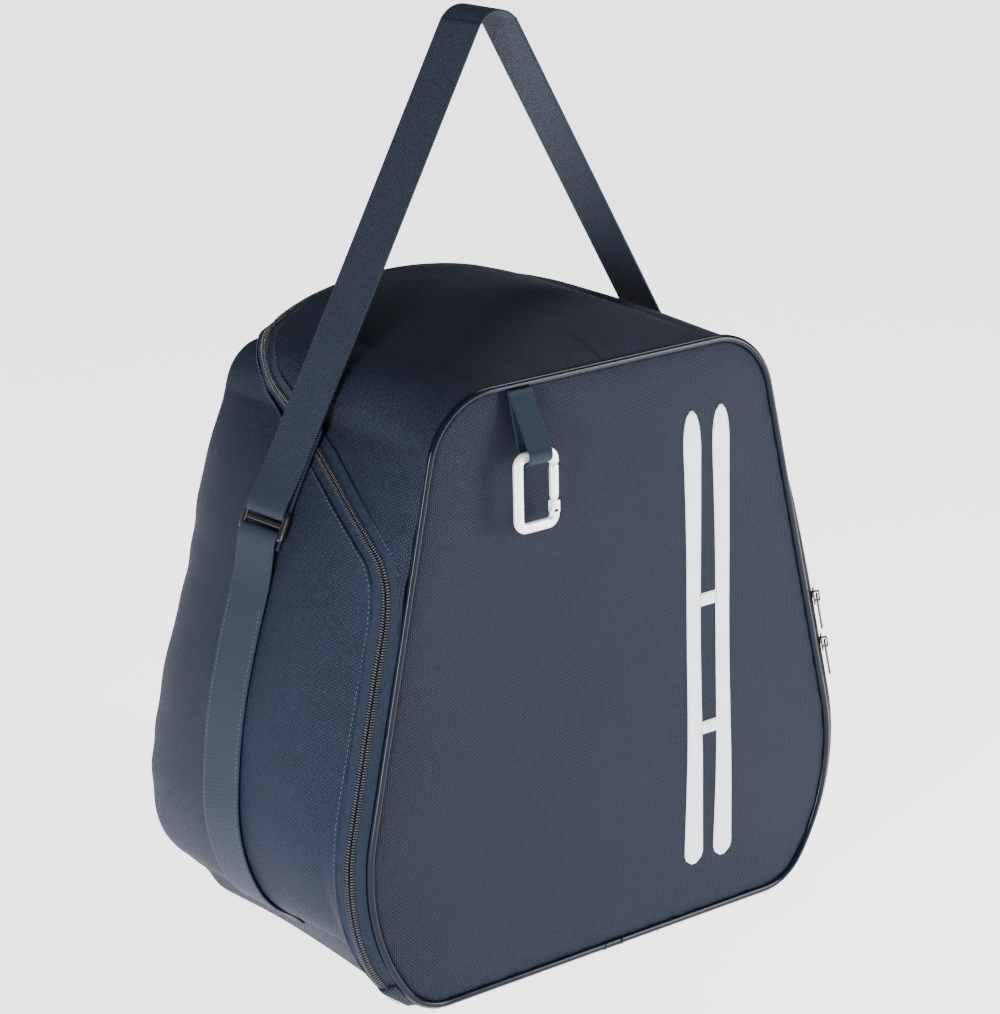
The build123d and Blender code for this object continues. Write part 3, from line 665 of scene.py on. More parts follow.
thread = plastic("thread", (0.05, 0.07, 0.12), 0.55, scratch=0.1)
dark_thread = plastic("dark_thread", (0.012, 0.014, 0.022), 0.6, scratch=0.1)
piping_pvc = plastic("piping_pvc", (0.004, 0.007, 0.016), 0.15, scratch=0.05, bump=0.01, shine=0.15)
coil_nylon = plastic("coil_nylon", (0.022, 0.024, 0.030), 0.28, scratch=0.12)
buckle_plastic = plastic("buckle_plastic", (0.010, 0.011, 0.013), 0.32, scratch=0.15)
clip_metal = plastic("clip_metal", (0.97, 0.97, 0.98), 0.22, metallic=0.25, coat=0.5, scratch=0.1, bump=0.01)
slider_metal = plastic("slider_metal", (0.03, 0.03, 0.034), 0.3, coat=0.4, metallic=0.4)
board_plastic = plastic("board_plastic", (0.02, 0.02, 0.022), 0.5)
print_ink = plastic("print_ink", (0.80, 0.83, 0.88), 0.55, scratch=0.2)


def place(obj, body, slot, *nodes):
    """Puts a finished piece on its CAD body and hides the CAD nodes it stands for; slot is not used."""
    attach(obj, body)
    if nodes:
        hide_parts(*nodes)


# ---- bag panels
EDGE_LIP = 0.9       # rise of the folded edge over the zip tape
LIP_REACH = 5.0
LIP_START = 175.0
EDGE_STITCH = 2.2    # from the folded edge to its row of stitches
FLAP_NEARER = 1.6    # the flap's folded edge lies this much nearer to the coil


def ripple(s, y, side):
    """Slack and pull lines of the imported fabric, in millimetres."""
    zy = zip_y(s)[0] if s > ZIP_START else FRONT_Y
    near_zip = exp(-abs(y - zy) / 16.0)
    near_back = exp(-(BACK_Y - y) / 18.0)
    phase = 1.7 if side > 0 else 0.0
    pucker = 0.45 * near_zip * sin(s / 4.6 + 2.0 * sin(s / 31.0) + phase)
    held = 1 - exp(-(BACK_Y - y) / 3.0)
    pucker += 0.8 * near_back * held * sin(s / 6.1 + 1.4 * sin(s / 23.0) + phase)
    broad = 1.1 * sin(s / 41.0 + y / 57.0 + phase) * sin(y / 38.0 - s / 90.0)
    edge = min(1.0, (BACK_Y - y) / 22.0) * min(1.0, abs(y - zy) / 14.0)
    fade = min(1.0, max(0.0, (s - LEN_FLOOR) / 40.0)) * min(1.0, (BACK_Y - zy) / 45.0)
    return (pucker + broad * edge) * fade


def gusset_point(s, y, side, off=0.0):
    """Visible fabric: pulled in at the back seam."""
    seam = 1.6 * exp(-(BACK_Y - y) / 2.2)
    return skin(s, y, off - seam + ripple(s, y, side), side)


def body_front_edge(s):
    """Front edge of the fixed gusset fabric at length s."""
    if s < ZIP_START - END_TAB:
        return FRONT_Y + 1.6
    y, slope = zip_y(max(s, ZIP_START))
    return walk(s, y, FOLD_EDGE * hypot(1, slope), 1)


def spread(count, a, b, ease=0.35):
    """Values from a to b, closer together near both ends."""
    out = []
    for k in range(count + 1):
        t = k / count
        t = t * (1 - ease) + ease * (0.5 - 0.5 * cos(pi * t))
        out.append(a + (b - a) * t)
    return out


def gusset_cloth(s, y, side, past_edge, lift=0.0):
    """Gusset fabric with its lip, which rises where the folded edge lies on the zip tape."""
    lip = EDGE_LIP * exp(-past_edge / LIP_REACH) if s > LIP_START else 0.0
    return gusset_point(s, y, side, lip + lift)


def patch(name, spans, front, back, cols, point=gusset_cloth):
    """Fabric between two seam lines; spans is a list of (side, length) rows."""
    verts, uvs = [], []
    for side, s in spans:
        y0, y1 = front(s), back(s)
        for y in spread(cols, y0, y1):
            verts.append(point(s, y, side, y - y0))
            uvs.append((side * (LEN_ALL - s), y))
    obj = make_mesh(name, verts, grid_faces(len(spans), cols + 1), bag_cloth, uvs)
    aim_outwards(obj)
    thicken(obj, CLOTH)
    return obj


def face_along_y(obj, sign):
    """Turns the faces of a flat sheet to the front (-1) or the back (+1)."""
    if sum(p.normal.y * p.area for p in obj.data.polygons) * sign < 0:
        obj.data.flip_normals()


def aim_outwards(obj):
    """Turns the faces of an open sheet away from the middle of the bag."""
    middle = Vector((0, 0, HEIGHT / 2 * MM))
    vote = sum((p.center - middle).dot(p.normal) * p.area for p in obj.data.polygons)
    if vote < 0:
        obj.data.flip_normals()


BOTTOM_SEAM = 130.0
BACK_INSET = 0.4
REAR_TOP_SEAM = LEN_ALL - 84.0


def rows(a, b, step):
    n = max(2, round((b - a) / step))
    return [a + (b - a) * k / n for k in range(n + 1)]


def back_edge(s):
    return BACK_Y - BACK_INSET


for side, node in ((-1, "side_panel_left"), (1, "side_panel_right")):
    spans = [(side, s) for s in rows(BOTTOM_SEAM, REAR_TOP_SEAM, 3.2)]
    panel = patch(node + "_cloth", spans, body_front_edge, back_edge, 56)
    place(panel, "bag_body", "bag_fabric", node)

across_floor = [(-1, s) for s in rows(1.0, BOTTOM_SEAM, 5.0)[::-1]]
across_floor += [(1, s) for s in rows(0.0, BOTTOM_SEAM, 5.0)]
bottom = patch("bottom_cloth", across_floor, body_front_edge, back_edge, 40)
place(bottom, "bag_body", "bag_fabric", "bottom_panel")



def over_top(s0, step, gap):
    """Rows from the left side over the top to the right; gap keeps the left ones off the middle."""
    left = [(-1, s) for s in rows(s0, LEN_ALL - gap, step)]
    return left + [(1, s) for s in rows(s0, LEN_ALL, step)[::-1]]


rear_top = patch("rear_top_cloth", over_top(REAR_TOP_SEAM, 3.0, 0.5), body_front_edge, back_edge, 12)
place(rear_top, "bag_body", "bag_fabric", "rear_top_panel")

FLAP_START = 424.0
FLAP_FRONT = FRONT_Y + 1.2


def flap_front_edge(s):
    return FLAP_FRONT


def flap_back_edge(s):
    y, slope = zip_y(s)
    return max(FLAP_FRONT + 0.4, walk(s, y, (FOLD_EDGE - FLAP_NEARER) * hypot(1, slope), -1))


def flap_cloth(s, y, side, past_edge):
    """Flap fabric: pulled in at the piping, rising to its folded edge at the zip."""
    pull = 1.2 * exp(-(y - FRONT_Y) / 4.0)
    zy = zip_y(s)[0]
    wave = 0.5 * exp(-(y - FRONT_Y) / 20.0) * sin(s / 5.3 + side + 1.5 * sin(s / 27.0))
    wave += 0.4 * exp(-abs(zy - y) / 14.0) * sin(s / 4.4 + 2.0 * sin(s / 19.0))
    held = min(1.0, (y - FRONT_Y) / 40.0) * min(1.0, abs(zy - y) / 20.0)
    wave += 1.2 * sin(y / 47.0 + side * s / 70.0) * held
    fade = min(1.0, max(0.0, (s - FLAP_START) / 30.0))
    return skin(s, y, 0.9 * exp(-abs(zy - y) / 6.0) - pull + wave * fade, side)


top_cloth = patch("top_cloth", over_top(FLAP_START, 3.2, 1), flap_front_edge, flap_back_edge, 60, flap_cloth)
place(top_cloth, "front_flap", "bag_fabric", "top_panel")


def ring_points(count_step, inset):
    """Closed ring of (x, z) just inside the front outline."""
    half = rows(0.0, LEN_ALL, count_step)
    right = [outline(s) for s in half]
    pts = [(x - nx * inset, z - nz * inset) for x, z, nx, nz in right]
    return pts + [(-x, z) for x, z in pts[1:-1][::-1]]


PANEL_MIDDLE = (0.0, 188.0)
FRONT_CROWN = 4.6
LOOP_SEAM = (-72.5, 391.0)  # place where the hanging loop is sewn on and pulls the fabric in
PANEL_RINGS = 46


def front_face_y(x, z):
    """Depth of the front fabric at a place on the panel, seen from the front."""
    d = edge_distance(x, z)
    roll = 2.6 * (1 - exp(-d / 6.0))
    crown = FRONT_CROWN * (1 - exp(-d / 70.0))
    wave = 0.5 * sin(x / 43.0 + z / 61.0) * sin(z / 37.0 - x / 80.0) * min(1.0, d / 30.0)
    pucker = 0.28 * exp(-d / 13.0) * sin(atan2(z - PANEL_MIDDLE[1], x) * 62.0)
    dent = 3.0 * exp(-(((x - LOOP_SEAM[0]) / 18.0) ** 2) - ((z - LOOP_SEAM[1]) / 16.0) ** 2)
    return FRONT_Y + 1.2 - roll - crown + wave + pucker + dent


outline_ring = [Vector((x, z)) for x, z in ring_points(6.0, 0.0)]


def edge_distance(x, z, ring=outline_ring):
    """Distance from a place on a panel to its seam; the front's seam unless another is given."""
    p = Vector((x, z))
    best = 1e9
    for a, b in zip(ring, ring[1:] + ring[:1]):
        ab = b - a
        t = max(0.0, min(1.0, (p - a).dot(ab) / ab.length_squared))
        best = min(best, (p - a - ab * t).length)
    return best


def disc(name, ring, depth_at, material, flip):
    """Sheet filling a ring, as nested rings that close on a middle vertex."""
    count = len(ring)
    verts, uvs = [], []
    cx, cz = PANEL_MIDDLE
    for k in range(PANEL_RINGS):
        f = 1 - (k / PANEL_RINGS) ** 1.15
        for x, z in ring:
            px, pz = cx + (x - cx) * f, cz + (z - cz) * f
            verts.append(Vector((px, depth_at(px, pz), LIFT + pz)))
            uvs.append((px, pz))
    verts.append(Vector((cx, depth_at(cx, cz), LIFT + cz)))
    uvs.append((cx, cz))
    faces = grid_faces(PANEL_RINGS, count, False, True, 0, flip)
    last = (PANEL_RINGS - 1) * count
    for j in range(count):
        tri = (last + j, last + (j + 1) % count, len(verts) - 1)
        faces.append(tri[::-1] if flip else tri)
    obj = make_mesh(name, verts, faces, material, uvs)
    thicken(obj, PANEL_CLOTH)
    return obj


front_ring = ring_points(5.0, PIPE_RADIUS - 0.9)
front_cloth_piece = disc("front_cloth_panel", front_ring, front_face_y, front_cloth, False)
face_along_y(front_cloth_piece, -1)
place(front_cloth_piece, "front_flap", "bag_fabric", "front_panel")


def back_ring():
    half = rows(0.0, LEN_ALL, 5.0)
    pts = [skin(s, BACK_Y, -0.9) for s in half]
    ring = [(p.x, p.z - LIFT) for p in pts]
    return ring + [(-x, z) for x, z in ring[1:-1][::-1]]


back_seam = [Vector((x, z)) for x, z in back_ring()]


def back_face_y(x, z):
    d = edge_distance(x, z, back_seam)
    roll = 3.0 * (1 - exp(-d / 7.0))
    wave = 0.8 * sin(x / 51.0 - z / 47.0) * min(1.0, d / 30.0)
    pucker = 0.5 * exp(-d / 15.0) * sin(atan2(z - PANEL_MIDDLE[1], x) * 47.0)
    return BACK_Y - 1.8 + roll + 2.0 * (1 - exp(-d / 80.0)) + wave * 0.6 + pucker


back_cloth_piece = disc("back_cloth_panel", back_ring(), back_face_y, bag_cloth, True)
face_along_y(back_cloth_piece, 1)
place(back_cloth_piece, "bag_body", "bag_fabric", "back_panel")


# ---- piping and bindings
def outline_frames(step, y, inset=0.0):
    """Closed frames round the front outline: across is -Y, outward is away from the middle."""
    half = rows(0.0, LEN_ALL, step)
    out = []
    for s in half:
        x, z, nx, nz = outline(s)
        out.append((Vector((x - nx * inset, y, LIFT + z - nz * inset)), TO_FRONT, Vector((nx, 0, nz))))
    return out + mirrored(out)


def mirrored(frames):
    """The left half of a ring of frames, from its right half."""
    return [(Vector((-p.x, p.y, p.z)), a, Vector((-n.x, 0, n.z))) for p, a, n in frames[1:-1][::-1]]


pipe_ring = circle_ring(PIPE_RADIUS, 18)
piping = sweep("front_piping_tube", outline_frames(4.0, FRONT_Y), pipe_ring, piping_pvc, closed=True)
place(piping, "front_flap", "piping", "front_piping")

sleeve_lo, sleeve_hi = node_box("piping_joint")
SLEEVE_R = (sleeve_hi.z - sleeve_lo.z) / 2
SLEEVE_L = sleeve_hi.x - sleeve_lo.x


def sleeve_radius(t):
    """Radius along the piping joint, t from -1 to 1: a collar at each end."""
    collar = exp(-(((abs(t) - 0.88) / 0.10) ** 2))
    return SLEEVE_R - 0.35 + 0.3 * collar - (1.0 if abs(t) > 0.995 else 0.0)


SLEEVE_STEPS = 40
SLEEVE_SIDES = 20
verts = []
for k in range(SLEEVE_STEPS + 1):
    t = -1 + 2 * k / SLEEVE_STEPS
    for a, h in circle_ring(sleeve_radius(t), SLEEVE_SIDES):
        verts.append(Vector((t * SLEEVE_L / 2, FRONT_Y + a, LIFT + h)))
faces = grid_faces(SLEEVE_STEPS + 1, SLEEVE_SIDES, False, True) + end_caps(SLEEVE_STEPS + 1, SLEEVE_SIDES)
sleeve = solid("piping_sleeve", verts, faces, piping_pvc)
place(sleeve, "front_flap", "piping", "piping_joint")

BIND_HALF = 0.9
BIND_EDGE = 0.8
ring = rounded_box(-BIND_HALF, BIND_HALF, -6.0, 0.0, BIND_EDGE, 3, 0)
frames = outline_frames(5.0, FRONT_Y + 2.8, 4.4)
front_bind = sweep("front_seam_binding", frames, ring, binding_cloth, closed=True)
place(front_bind, "front_flap", "binding", "binding_front")


def back_frames(step):
    out = []
    for s in rows(0.0, LEN_ALL, step):
        p = skin(s, BACK_Y, -4.6)
        p.y = BACK_Y - 4.6
        p.z = max(p.z, 6.4)
        x, z, nx, nz = outline(s)
        out.append((p, TO_FRONT, Vector((nx, 0, nz))))
    return out + mirrored(out)


ring = rounded_box(-BIND_HALF, BIND_HALF, -5.6, 0.0, BIND_EDGE, 3, 0)
back_bind = sweep("back_seam_binding", back_frames(5.0), ring, binding_cloth, closed=True)
place(back_bind, "bag_body", "binding", "binding_back")


# ---- zip
TOOTH_PITCH = 1.75


def coil_row(name, lean_to, shift):
    """One side of the nylon coil: arched loops that reach to the middle line."""
    frames = zip_frames(lean_to, TOOTH_PITCH)
    verts, faces = [], []
    arch = [(0.10, 0.25), (0.35, 1.05), (1.1, 1.32), (2.3, 1.28), (3.1, 0.85), (3.35, 0.0)]
    for i in range(1, len(frames) - 1):
        p, a, n = frames[i]
        t = (frames[i + 1][0] - frames[i - 1][0]).normalized()
        centre = p + t * (shift * TOOTH_PITCH)
        base = len(verts)
        for x, h in arch:
            q = centre + a * (x * lean_to) + n * h + t * (0.16 * (x - 1.7))
            w = 0.52 if x > 0.5 else 0.62
            for du, dh in ((-w, -0.12), (-w * 0.55, 0.16), (w * 0.55, 0.16), (w, -0.12), (0, -0.55)):
                verts.append(q + t * du + n * dh)
        faces += grid_faces(len(arch), 5, False, True, base) + end_caps(len(arch), 5, base)
    return solid(name, verts, faces, coil_nylon)


for tag, body, lean_to, edges, shift in (
    ("flap", "front_flap", -1, (-FLAP_TAPE_EDGE, -1.0), 0.0),
    ("body", "bag_body", 1, (1.0, BODY_TAPE_EDGE), 0.5),
):
    frames = zip_frames(lean_to, 3.5)
    tape = sweep(f"zip_tape_{tag}_cloth", frames, rounded_box(*edges, -0.8, 0.0, 0.3, 2, 5), tape_cloth)
    place(tape, body, "zip_tape", "zip_tape_" + tag)
    place(coil_row(f"zip_coil_{tag}_teeth", lean_to, shift), body, "zip_coil", "zip_coil_" + tag)
    # the thread row that holds the coil to its tape
    row = [(p + a * (3.9 * lean_to) + n * 0.05, n) for p, a, n in frames]
    place(stitch_row("zip_seam_" + tag, row, dark_thread, 2.6, 2.0, 0.5, 0.3), body, "zip_tape")


def edge_row(front, shift, s0, point):
    """Path of (point, outward) just behind a fabric edge, over both halves."""
    out = []
    for side in (-1, 1):
        half = []
        for s in rows(s0, LEN_ALL, 3.0):
            y = walk(s, front(s), abs(shift), 1 if shift > 0 else -1)
            p = point(s, y, side, abs(shift))
            q = gusset_point(s, y, side, 3.0)
            half.append((p, (q - gusset_point(s, y, side)).normalized()))
        out.append(half if side < 0 else half[::-1])
    return out[0] + out[1]


body_row = edge_row(body_front_edge, EDGE_STITCH, 190.0, gusset_cloth)
place(stitch_row("zip_top_stitch_body", body_row, thread), "bag_body", "bag_fabric")
flap_row = edge_row(flap_back_edge, -EDGE_STITCH, 462.0, flap_cloth)
place(stitch_row("zip_top_stitch_flap", flap_row, thread), "front_flap", "bag_fabric")

TAB_LOW, TAB_HIGH = 166.0, 188.0


def tab_front(s):
    return FRONT_Y - 0.4


def tab_cloth(s, y, side, past_edge):
    """Low at the piping and the side panel, raised over the coil."""
    return gusset_cloth(s, y, side, past_edge, 0.5 + 1.9 * exp(-(((y - ZIP_Y) / 5.0) ** 2)))


def tab_back(s):
    return ZIP_Y + 11.0


for side, node in ((-1, "zip_end_left"), (1, "zip_end_right")):
    path = even(zip_line, 3.5)
    p, a, n = zip_frame(path, 0, side, 1)
    t = (zip_frame(path, 1, side, 1)[0] - p).normalized()
    spans = [(side, s) for s in rows(TAB_LOW, TAB_HIGH, 2.0)]
    tab = patch(node + "_tab", spans, tab_front, tab_back, 16, tab_cloth)
    place(tab, "bag_body", "bag_fabric", node)
    bars = [(p - t * 12.4 + a * x + n * 2.3, n) for x in (-4.0, -1.0, 2.0, 5.0, 8.0)]
    place(stitch_row(node + "_tack", bars, thread, 0.8, 1.1, 0.7, 0.3), "bag_body", "bag_fabric")


# ---- webbing
def line_frames(points, across, step):
    """Frames along a smooth line through points, for webbing at right angles to across."""
    pts = [Vector(p) for p in smooth_path([tuple(p) for p in points], step)]
    frames = []
    for i, p in enumerate(pts):
        t = (pts[min(len(pts) - 1, i + 1)] - pts[max(0, i - 1)]).normalized()
        frames.append((p, across, across.cross(t).normalized()))
    return frames


def glide_frame():
    p = skin(GLIDE_LEVEL, 0, GLIDE_LIFT, -1)
    t = (skin(GLIDE_LEVEL + 14, 0, GLIDE_LIFT, -1) - skin(GLIDE_LEVEL - 14, 0, GLIDE_LIFT, -1)).normalized()
    return p, (Y_AXIS.cross(t) * -1).normalized(), t


def fold_points(centre, r, n, t, a0, a1, count):
    """Arc of radius r in the plane of n and t, from angle a0 to a1 in degrees."""
    out = []
    for k in range(count + 1):
        ang = radians(a0 + (a1 - a0) * k / count)
        out.append(centre + n * (r * cos(ang)) + t * (r * sin(ang)))
    return out


FOLD_OFFSET = GLIDE_BAR / 2 + GLIDE_SLOT + 0.6


def web_points(side, s0, s1, lift, count):
    return [skin(s0 + (s1 - s0) * k / count, 0, lift, side) for k in range(count + 1)]


def strap_line(z, side):
    return Vector((side * (STRAP_FOOT_X - STRAP_SLOPE * (z - STRAP_FOOT_Z)), 0, z))


def web_ring(width, thick, r=0.6):
    return rounded_box(-width / 2, width / 2, -thick / 2, thick / 2, min(r, thick / 2 - 0.05), 3, 10)


glide_p, glide_n, glide_t = glide_frame()
low_bar = glide_p - glide_t * FOLD_OFFSET
high_bar = glide_p + glide_t * FOLD_OFFSET

r = GLIDE_THICK / 2 + GAP + WEB / 2
fold = fold_points(low_bar, r, glide_n, glide_t, 0, 180, 10)
points = web_points(-1, WEB_FOOT, GLIDE_LEVEL - 44, WEB_LIFT, 20)
points += [skin(GLIDE_LEVEL - 33, 0, WEB_LIFT + 0.8, -1), skin(GLIDE_LEVEL - 22, 0, WEB_LIFT + 2.6, -1)]
points += [fold[0] - glide_t * 5] + fold + [fold[-1] - glide_t * 9]
left_web_frames = line_frames(points, Y_AXIS, 1.6)
left_web = sweep("side_webbing_left_band", left_web_frames, web_ring(STRAP_WIDTH - 1, WEB), side_web_cloth)
place(left_web, "bag_body", "web_fabric", "side_webbing_left")

right_web_frames = line_frames(web_points(1, WEB_FOOT, GLIDE_LEVEL + 8, WEB_LIFT, 24), Y_AXIS, 3.0)
right_web = sweep("side_webbing_right_band", right_web_frames, web_ring(STRAP_WIDTH - 1, WEB), side_web_cloth)
place(right_web, "bag_body", "web_fabric", "side_webbing_right")

# free strap: from the buckle over the top and down to the sewn end on the right
tilt = asin(STRAP_SLOPE / hypot(1, STRAP_SLOPE))
peak = STRAP_FOOT_Z + STRAP_FOOT_X / STRAP_SLOPE
apex_centre = Vector((0, 0, peak - STRAP_TOP_RADIUS / sin(tilt)))
r = GLIDE_THICK / 2 + GAP + STRAP_THICK / 2
fold = fold_points(high_bar, r, glide_n, glide_t, 0, -180, 10)
STRAP_LEVELS = (345, 370, 400, 430, 470, 520, 570)
left_part = fold[::-1] + [fold[0] + glide_t * 6] + [strap_line(z, -1) for z in STRAP_LEVELS]
over = []
for k in range(15):
    ang = pi - tilt - (pi - 2 * tilt) * k / 14
    over.append(apex_centre + Vector((cos(ang), 0, sin(ang))) * STRAP_TOP_RADIUS)
STRAP_LIFT = WEB_LIFT + WEB / 2 + 0.1 + STRAP_THICK / 2
right_part = [strap_line(z, 1) for z in STRAP_LEVELS[::-1]]
right_part += web_points(1, GLIDE_LEVEL + 12, GLIDE_LEVEL - 42, STRAP_LIFT, 6)
strap_frames = line_frames(left_part + over + right_part, Y_AXIS, 2.0)
strap = sweep("strap_webbing", strap_frames, web_ring(STRAP_WIDTH, STRAP_THICK), strap_cloth)
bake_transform(strap)
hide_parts("strap_loop", "strap_leg_left", "strap_leg_right", "strap_root_left", "strap_root_right")

inward = Vector((STRAP_THICK + 0.9, 0, 0))
tail_points = [fold[-1], fold[-1] + glide_t * 6] + [strap_line(z, -1) + inward for z in (337, 352, 368)]
tail_frames = line_frames(tail_points, Y_AXIS, 2.5)
tail = sweep("strap_tail", tail_frames, web_ring(STRAP_WIDTH, STRAP_THICK), strap_cloth)
place(tail, "bag_body", "web_fabric")


def web_edge_rows(name, frames, lift):
    """Stitching along both edges of a sewn webbing; lift is below 0 where the frames look inwards."""
    pieces = []
    outward = 1 if lift > 0 else -1
    for sign in (-1, 1):
        edge = (STRAP_WIDTH / 2 - 3.0) * sign
        row = [(p + a * edge + n * lift, n * outward) for p, a, n in frames]
        pieces.append(stitch_row(f"{name}_{sign}", row, thread, 3.2, 2.3, 0.55, 0.3))
    return join(name, *pieces)


web_face = WEB / 2 + 0.05
keep = [f for f in left_web_frames if f[0].z < skin(GLIDE_LEVEL - 52, 0).z and f[0].x < 0]
place(web_edge_rows("side_stitch_left", keep, -web_face), "bag_body", "web_fabric")
place(web_edge_rows("side_stitch_right", right_web_frames[:-22], web_face), "bag_body", "web_fabric")

# box and cross that sew the strap end to the right side webbing
BOX_LOW, BOX_HIGH = GLIDE_LEVEL - 39.0, GLIDE_LEVEL - 8.0
BOX_HALF = 16


def on_strap_end(s, y):
    p = skin(s, 0, STRAP_LIFT + STRAP_THICK / 2 + 0.05, 1)
    q = skin(s, 0, STRAP_LIFT + STRAP_THICK / 2 + 3.0, 1)
    return Vector((p.x, y, p.z)), (q - p).normalized()


corners = [(BOX_LOW, -BOX_HALF), (BOX_HIGH, -BOX_HALF), (BOX_HIGH, BOX_HALF), (BOX_LOW, BOX_HALF)]
corners += [(BOX_LOW, -BOX_HALF), (BOX_HIGH, BOX_HALF), (BOX_HIGH, -BOX_HALF), (BOX_LOW, BOX_HALF)]
route = []
for (s0, y0), (s1, y1) in zip(corners[:-1], corners[1:]):
    route += [on_strap_end(s0 + (s1 - s0) * k / 8, y0 + (y1 - y0) * k / 8) for k in range(8)]
place(stitch_row("strap_box_stitch", route, thread, 3.0, 2.2, 0.6, 0.35), "bag_body", "web_fabric")


# ---- slide buckle
def bar_mesh(name, p0, p1, a, n, ring, material):
    frames = []
    d = p1 - p0
    for k in range(9):
        t = k / 8
        end = 1.0 if 0 < k < 8 else 0.86
        frames.append((p0 + d * t, a * end, n * end))
    return sweep(name, frames, ring, material)


END_HALF = 2.6
half_w = GLIDE_WIDTH / 2 - END_HALF
to_end = Y_AXIS * half_w
bar_h = (GLIDE_HEIGHT - GLIDE_BAR - 2 * GLIDE_SLOT) / 2
bar_at = GLIDE_BAR / 2 + GLIDE_SLOT + bar_h / 2
bars = []
for name, mid, size in (("low", -bar_at, bar_h), ("mid", 0.0, GLIDE_BAR), ("high", bar_at, bar_h)):
    c = glide_p + glide_t * mid
    ring = rounded_box(-size / 2, size / 2, -GLIDE_THICK / 2, GLIDE_THICK / 2, 0.8, 3, 0)
    bars.append(bar_mesh("bar_" + name, c - to_end, c + to_end, glide_t, glide_n, ring, buckle_plastic))
ring = rounded_box(-END_HALF, END_HALF, -GLIDE_THICK / 2 - 0.2, GLIDE_THICK / 2 + 0.5, 1.2, 4, 0)
for sign in (-1, 1):
    c = glide_p + to_end * sign
    frames = []
    for k in range(13):
        t = -1 + 2 * k / 12
        shrink = sqrt(max(0.0, 1 - abs(t) ** 6)) * 0.75 + 0.25
        frames.append((c + glide_t * (t * GLIDE_HEIGHT / 2), Y_AXIS * shrink, glide_n * shrink))
    bars.append(sweep(f"end_{sign}", frames, ring, buckle_plastic))
place(join("slide_buckle", *bars), "bag_body", "buckle", "strap_slider")


# ---- hanging loop and carabiner
loop_lo, loop_hi = node_box("hanger_loop")
clip_at = joint_at("carabiner_swing")
seam_at = joint_at("hanger_swing")
LOOP_X = (loop_lo.x + loop_hi.x) / 2
LOOP_WIDTH = loop_hi.x - loop_lo.x
LOOP_BORE = 4.9
fold_c = Vector((LOOP_X, clip_at.y, clip_at.z + 0.5))
back = Vector((LOOP_X, FRONT_Y - 2.0 - GAP - LOOP_THICK / 2, seam_at.z))
front = back - Vector((0, LOOP_THICK + 0.1, 0))
up = ((back + front) * 0.5 - fold_c).normalized()
out = Vector((0, -up.z, up.y))
ring = fold_points(fold_c, LOOP_BORE + LOOP_THICK / 2 - 0.1, out, up, -205, 25, 14)
tuck = Vector((0, 1.4, 5.0))
points = [back + tuck, back, back * 0.45 + ring[0] * 0.55] + ring
points += [front * 0.45 + ring[-1] * 0.55, front, front + tuck]
loop_frames = line_frames(points, X_AXIS, 1.2)
loop = sweep("hanger_loop_webbing", loop_frames, web_ring(LOOP_WIDTH, LOOP_THICK, 0.5), loop_cloth)
place(loop, "hanger", "web_fabric", "hanger_loop")

clip_lo, clip_hi = node_box("carabiner_body")
CLIP_W, CLIP_H = clip_hi.x - clip_lo.x, clip_hi.z - clip_lo.z
CLIP_BAR = 7.0
CLIP_T = 4.4
CLIP_R = 9.0
clip_c = (clip_lo + clip_hi) / 2
gate_pin = joint_at("gate_hinge")
GATE_TOP = node_box("carabiner_gate")[1].z


def clip_path():
    """Middle line of the carabiner bar, from the gate's foot round to the nose."""
    w, h, r = CLIP_W / 2 - CLIP_BAR / 2, CLIP_H / 2 - CLIP_BAR / 2, CLIP_R - CLIP_BAR / 2
    pts = [(w, gate_pin.z - clip_c.z - 2.2), (w, -h + r)]
    x, z = w - r, h - r
    for cx, cz, a0 in ((x, -z, 0), (-x, -z, -90), (-x, z, -180), (x, z, -270)):
        for k in range(7):
            ang = radians(a0 - 90 * k / 6)
            pts.append((cx + r * cos(ang), cz + r * sin(ang)))
    pts.append((w, GATE_TOP - clip_c.z + 0.5))
    return [Vector((clip_c.x + x, clip_c.y, clip_c.z + z)) for x, z in pts]


def clip_frames(points, step):
    pts = [Vector(p) for p in even([tuple(p) for p in points], step)]
    frames = []
    for i, p in enumerate(pts):
        t = (pts[min(len(pts) - 1, i + 1)] - pts[max(0, i - 1)]).normalized()
        frames.append((p, t.cross(Y_AXIS).normalized(), TO_FRONT))
    return frames


ring = rounded_box(-CLIP_BAR / 2, CLIP_BAR / 2, -CLIP_T / 2, CLIP_T / 2, 1.9, 5, 0)
clip = sweep("carabiner_ring", clip_frames(clip_path(), 1.0), ring, clip_metal)
bar_x = clip_c.x + CLIP_W / 2 - CLIP_BAR / 2
gate_pin_line = Vector((gate_pin.x, clip_c.y, gate_pin.z))


def upright(name, x, y, z0, z1, half_a, half_h, edge, steps=2):
    """Straight bar of the carabiner from height z0 to z1, half_a wide and half_h deep to each side."""
    ring = rounded_box(-half_a, half_a, -half_h, half_h, edge, steps, 0)
    return bar_mesh(name, Vector((x, y, z0)), Vector((x, y, z1)), X_AXIS, TO_FRONT, ring, clip_metal)


nose = upright("nose", bar_x, clip_c.y, GATE_TOP + 0.8, GATE_TOP - 3.2, 1.0, 0.8, 0.5)
ears = []
for sign in (-1, 1):
    y = clip_c.y + sign * (CLIP_T / 2 - 0.45)
    ears.append(upright(f"ear{sign}", gate_pin.x, y, gate_pin.z - 5.0, gate_pin.z + 3.5, 3.1, 0.45, 0.35))
clip = join("carabiner_ring", clip, nose, *ears)
place(clip, "carabiner", "clip_metal", "carabiner_body")

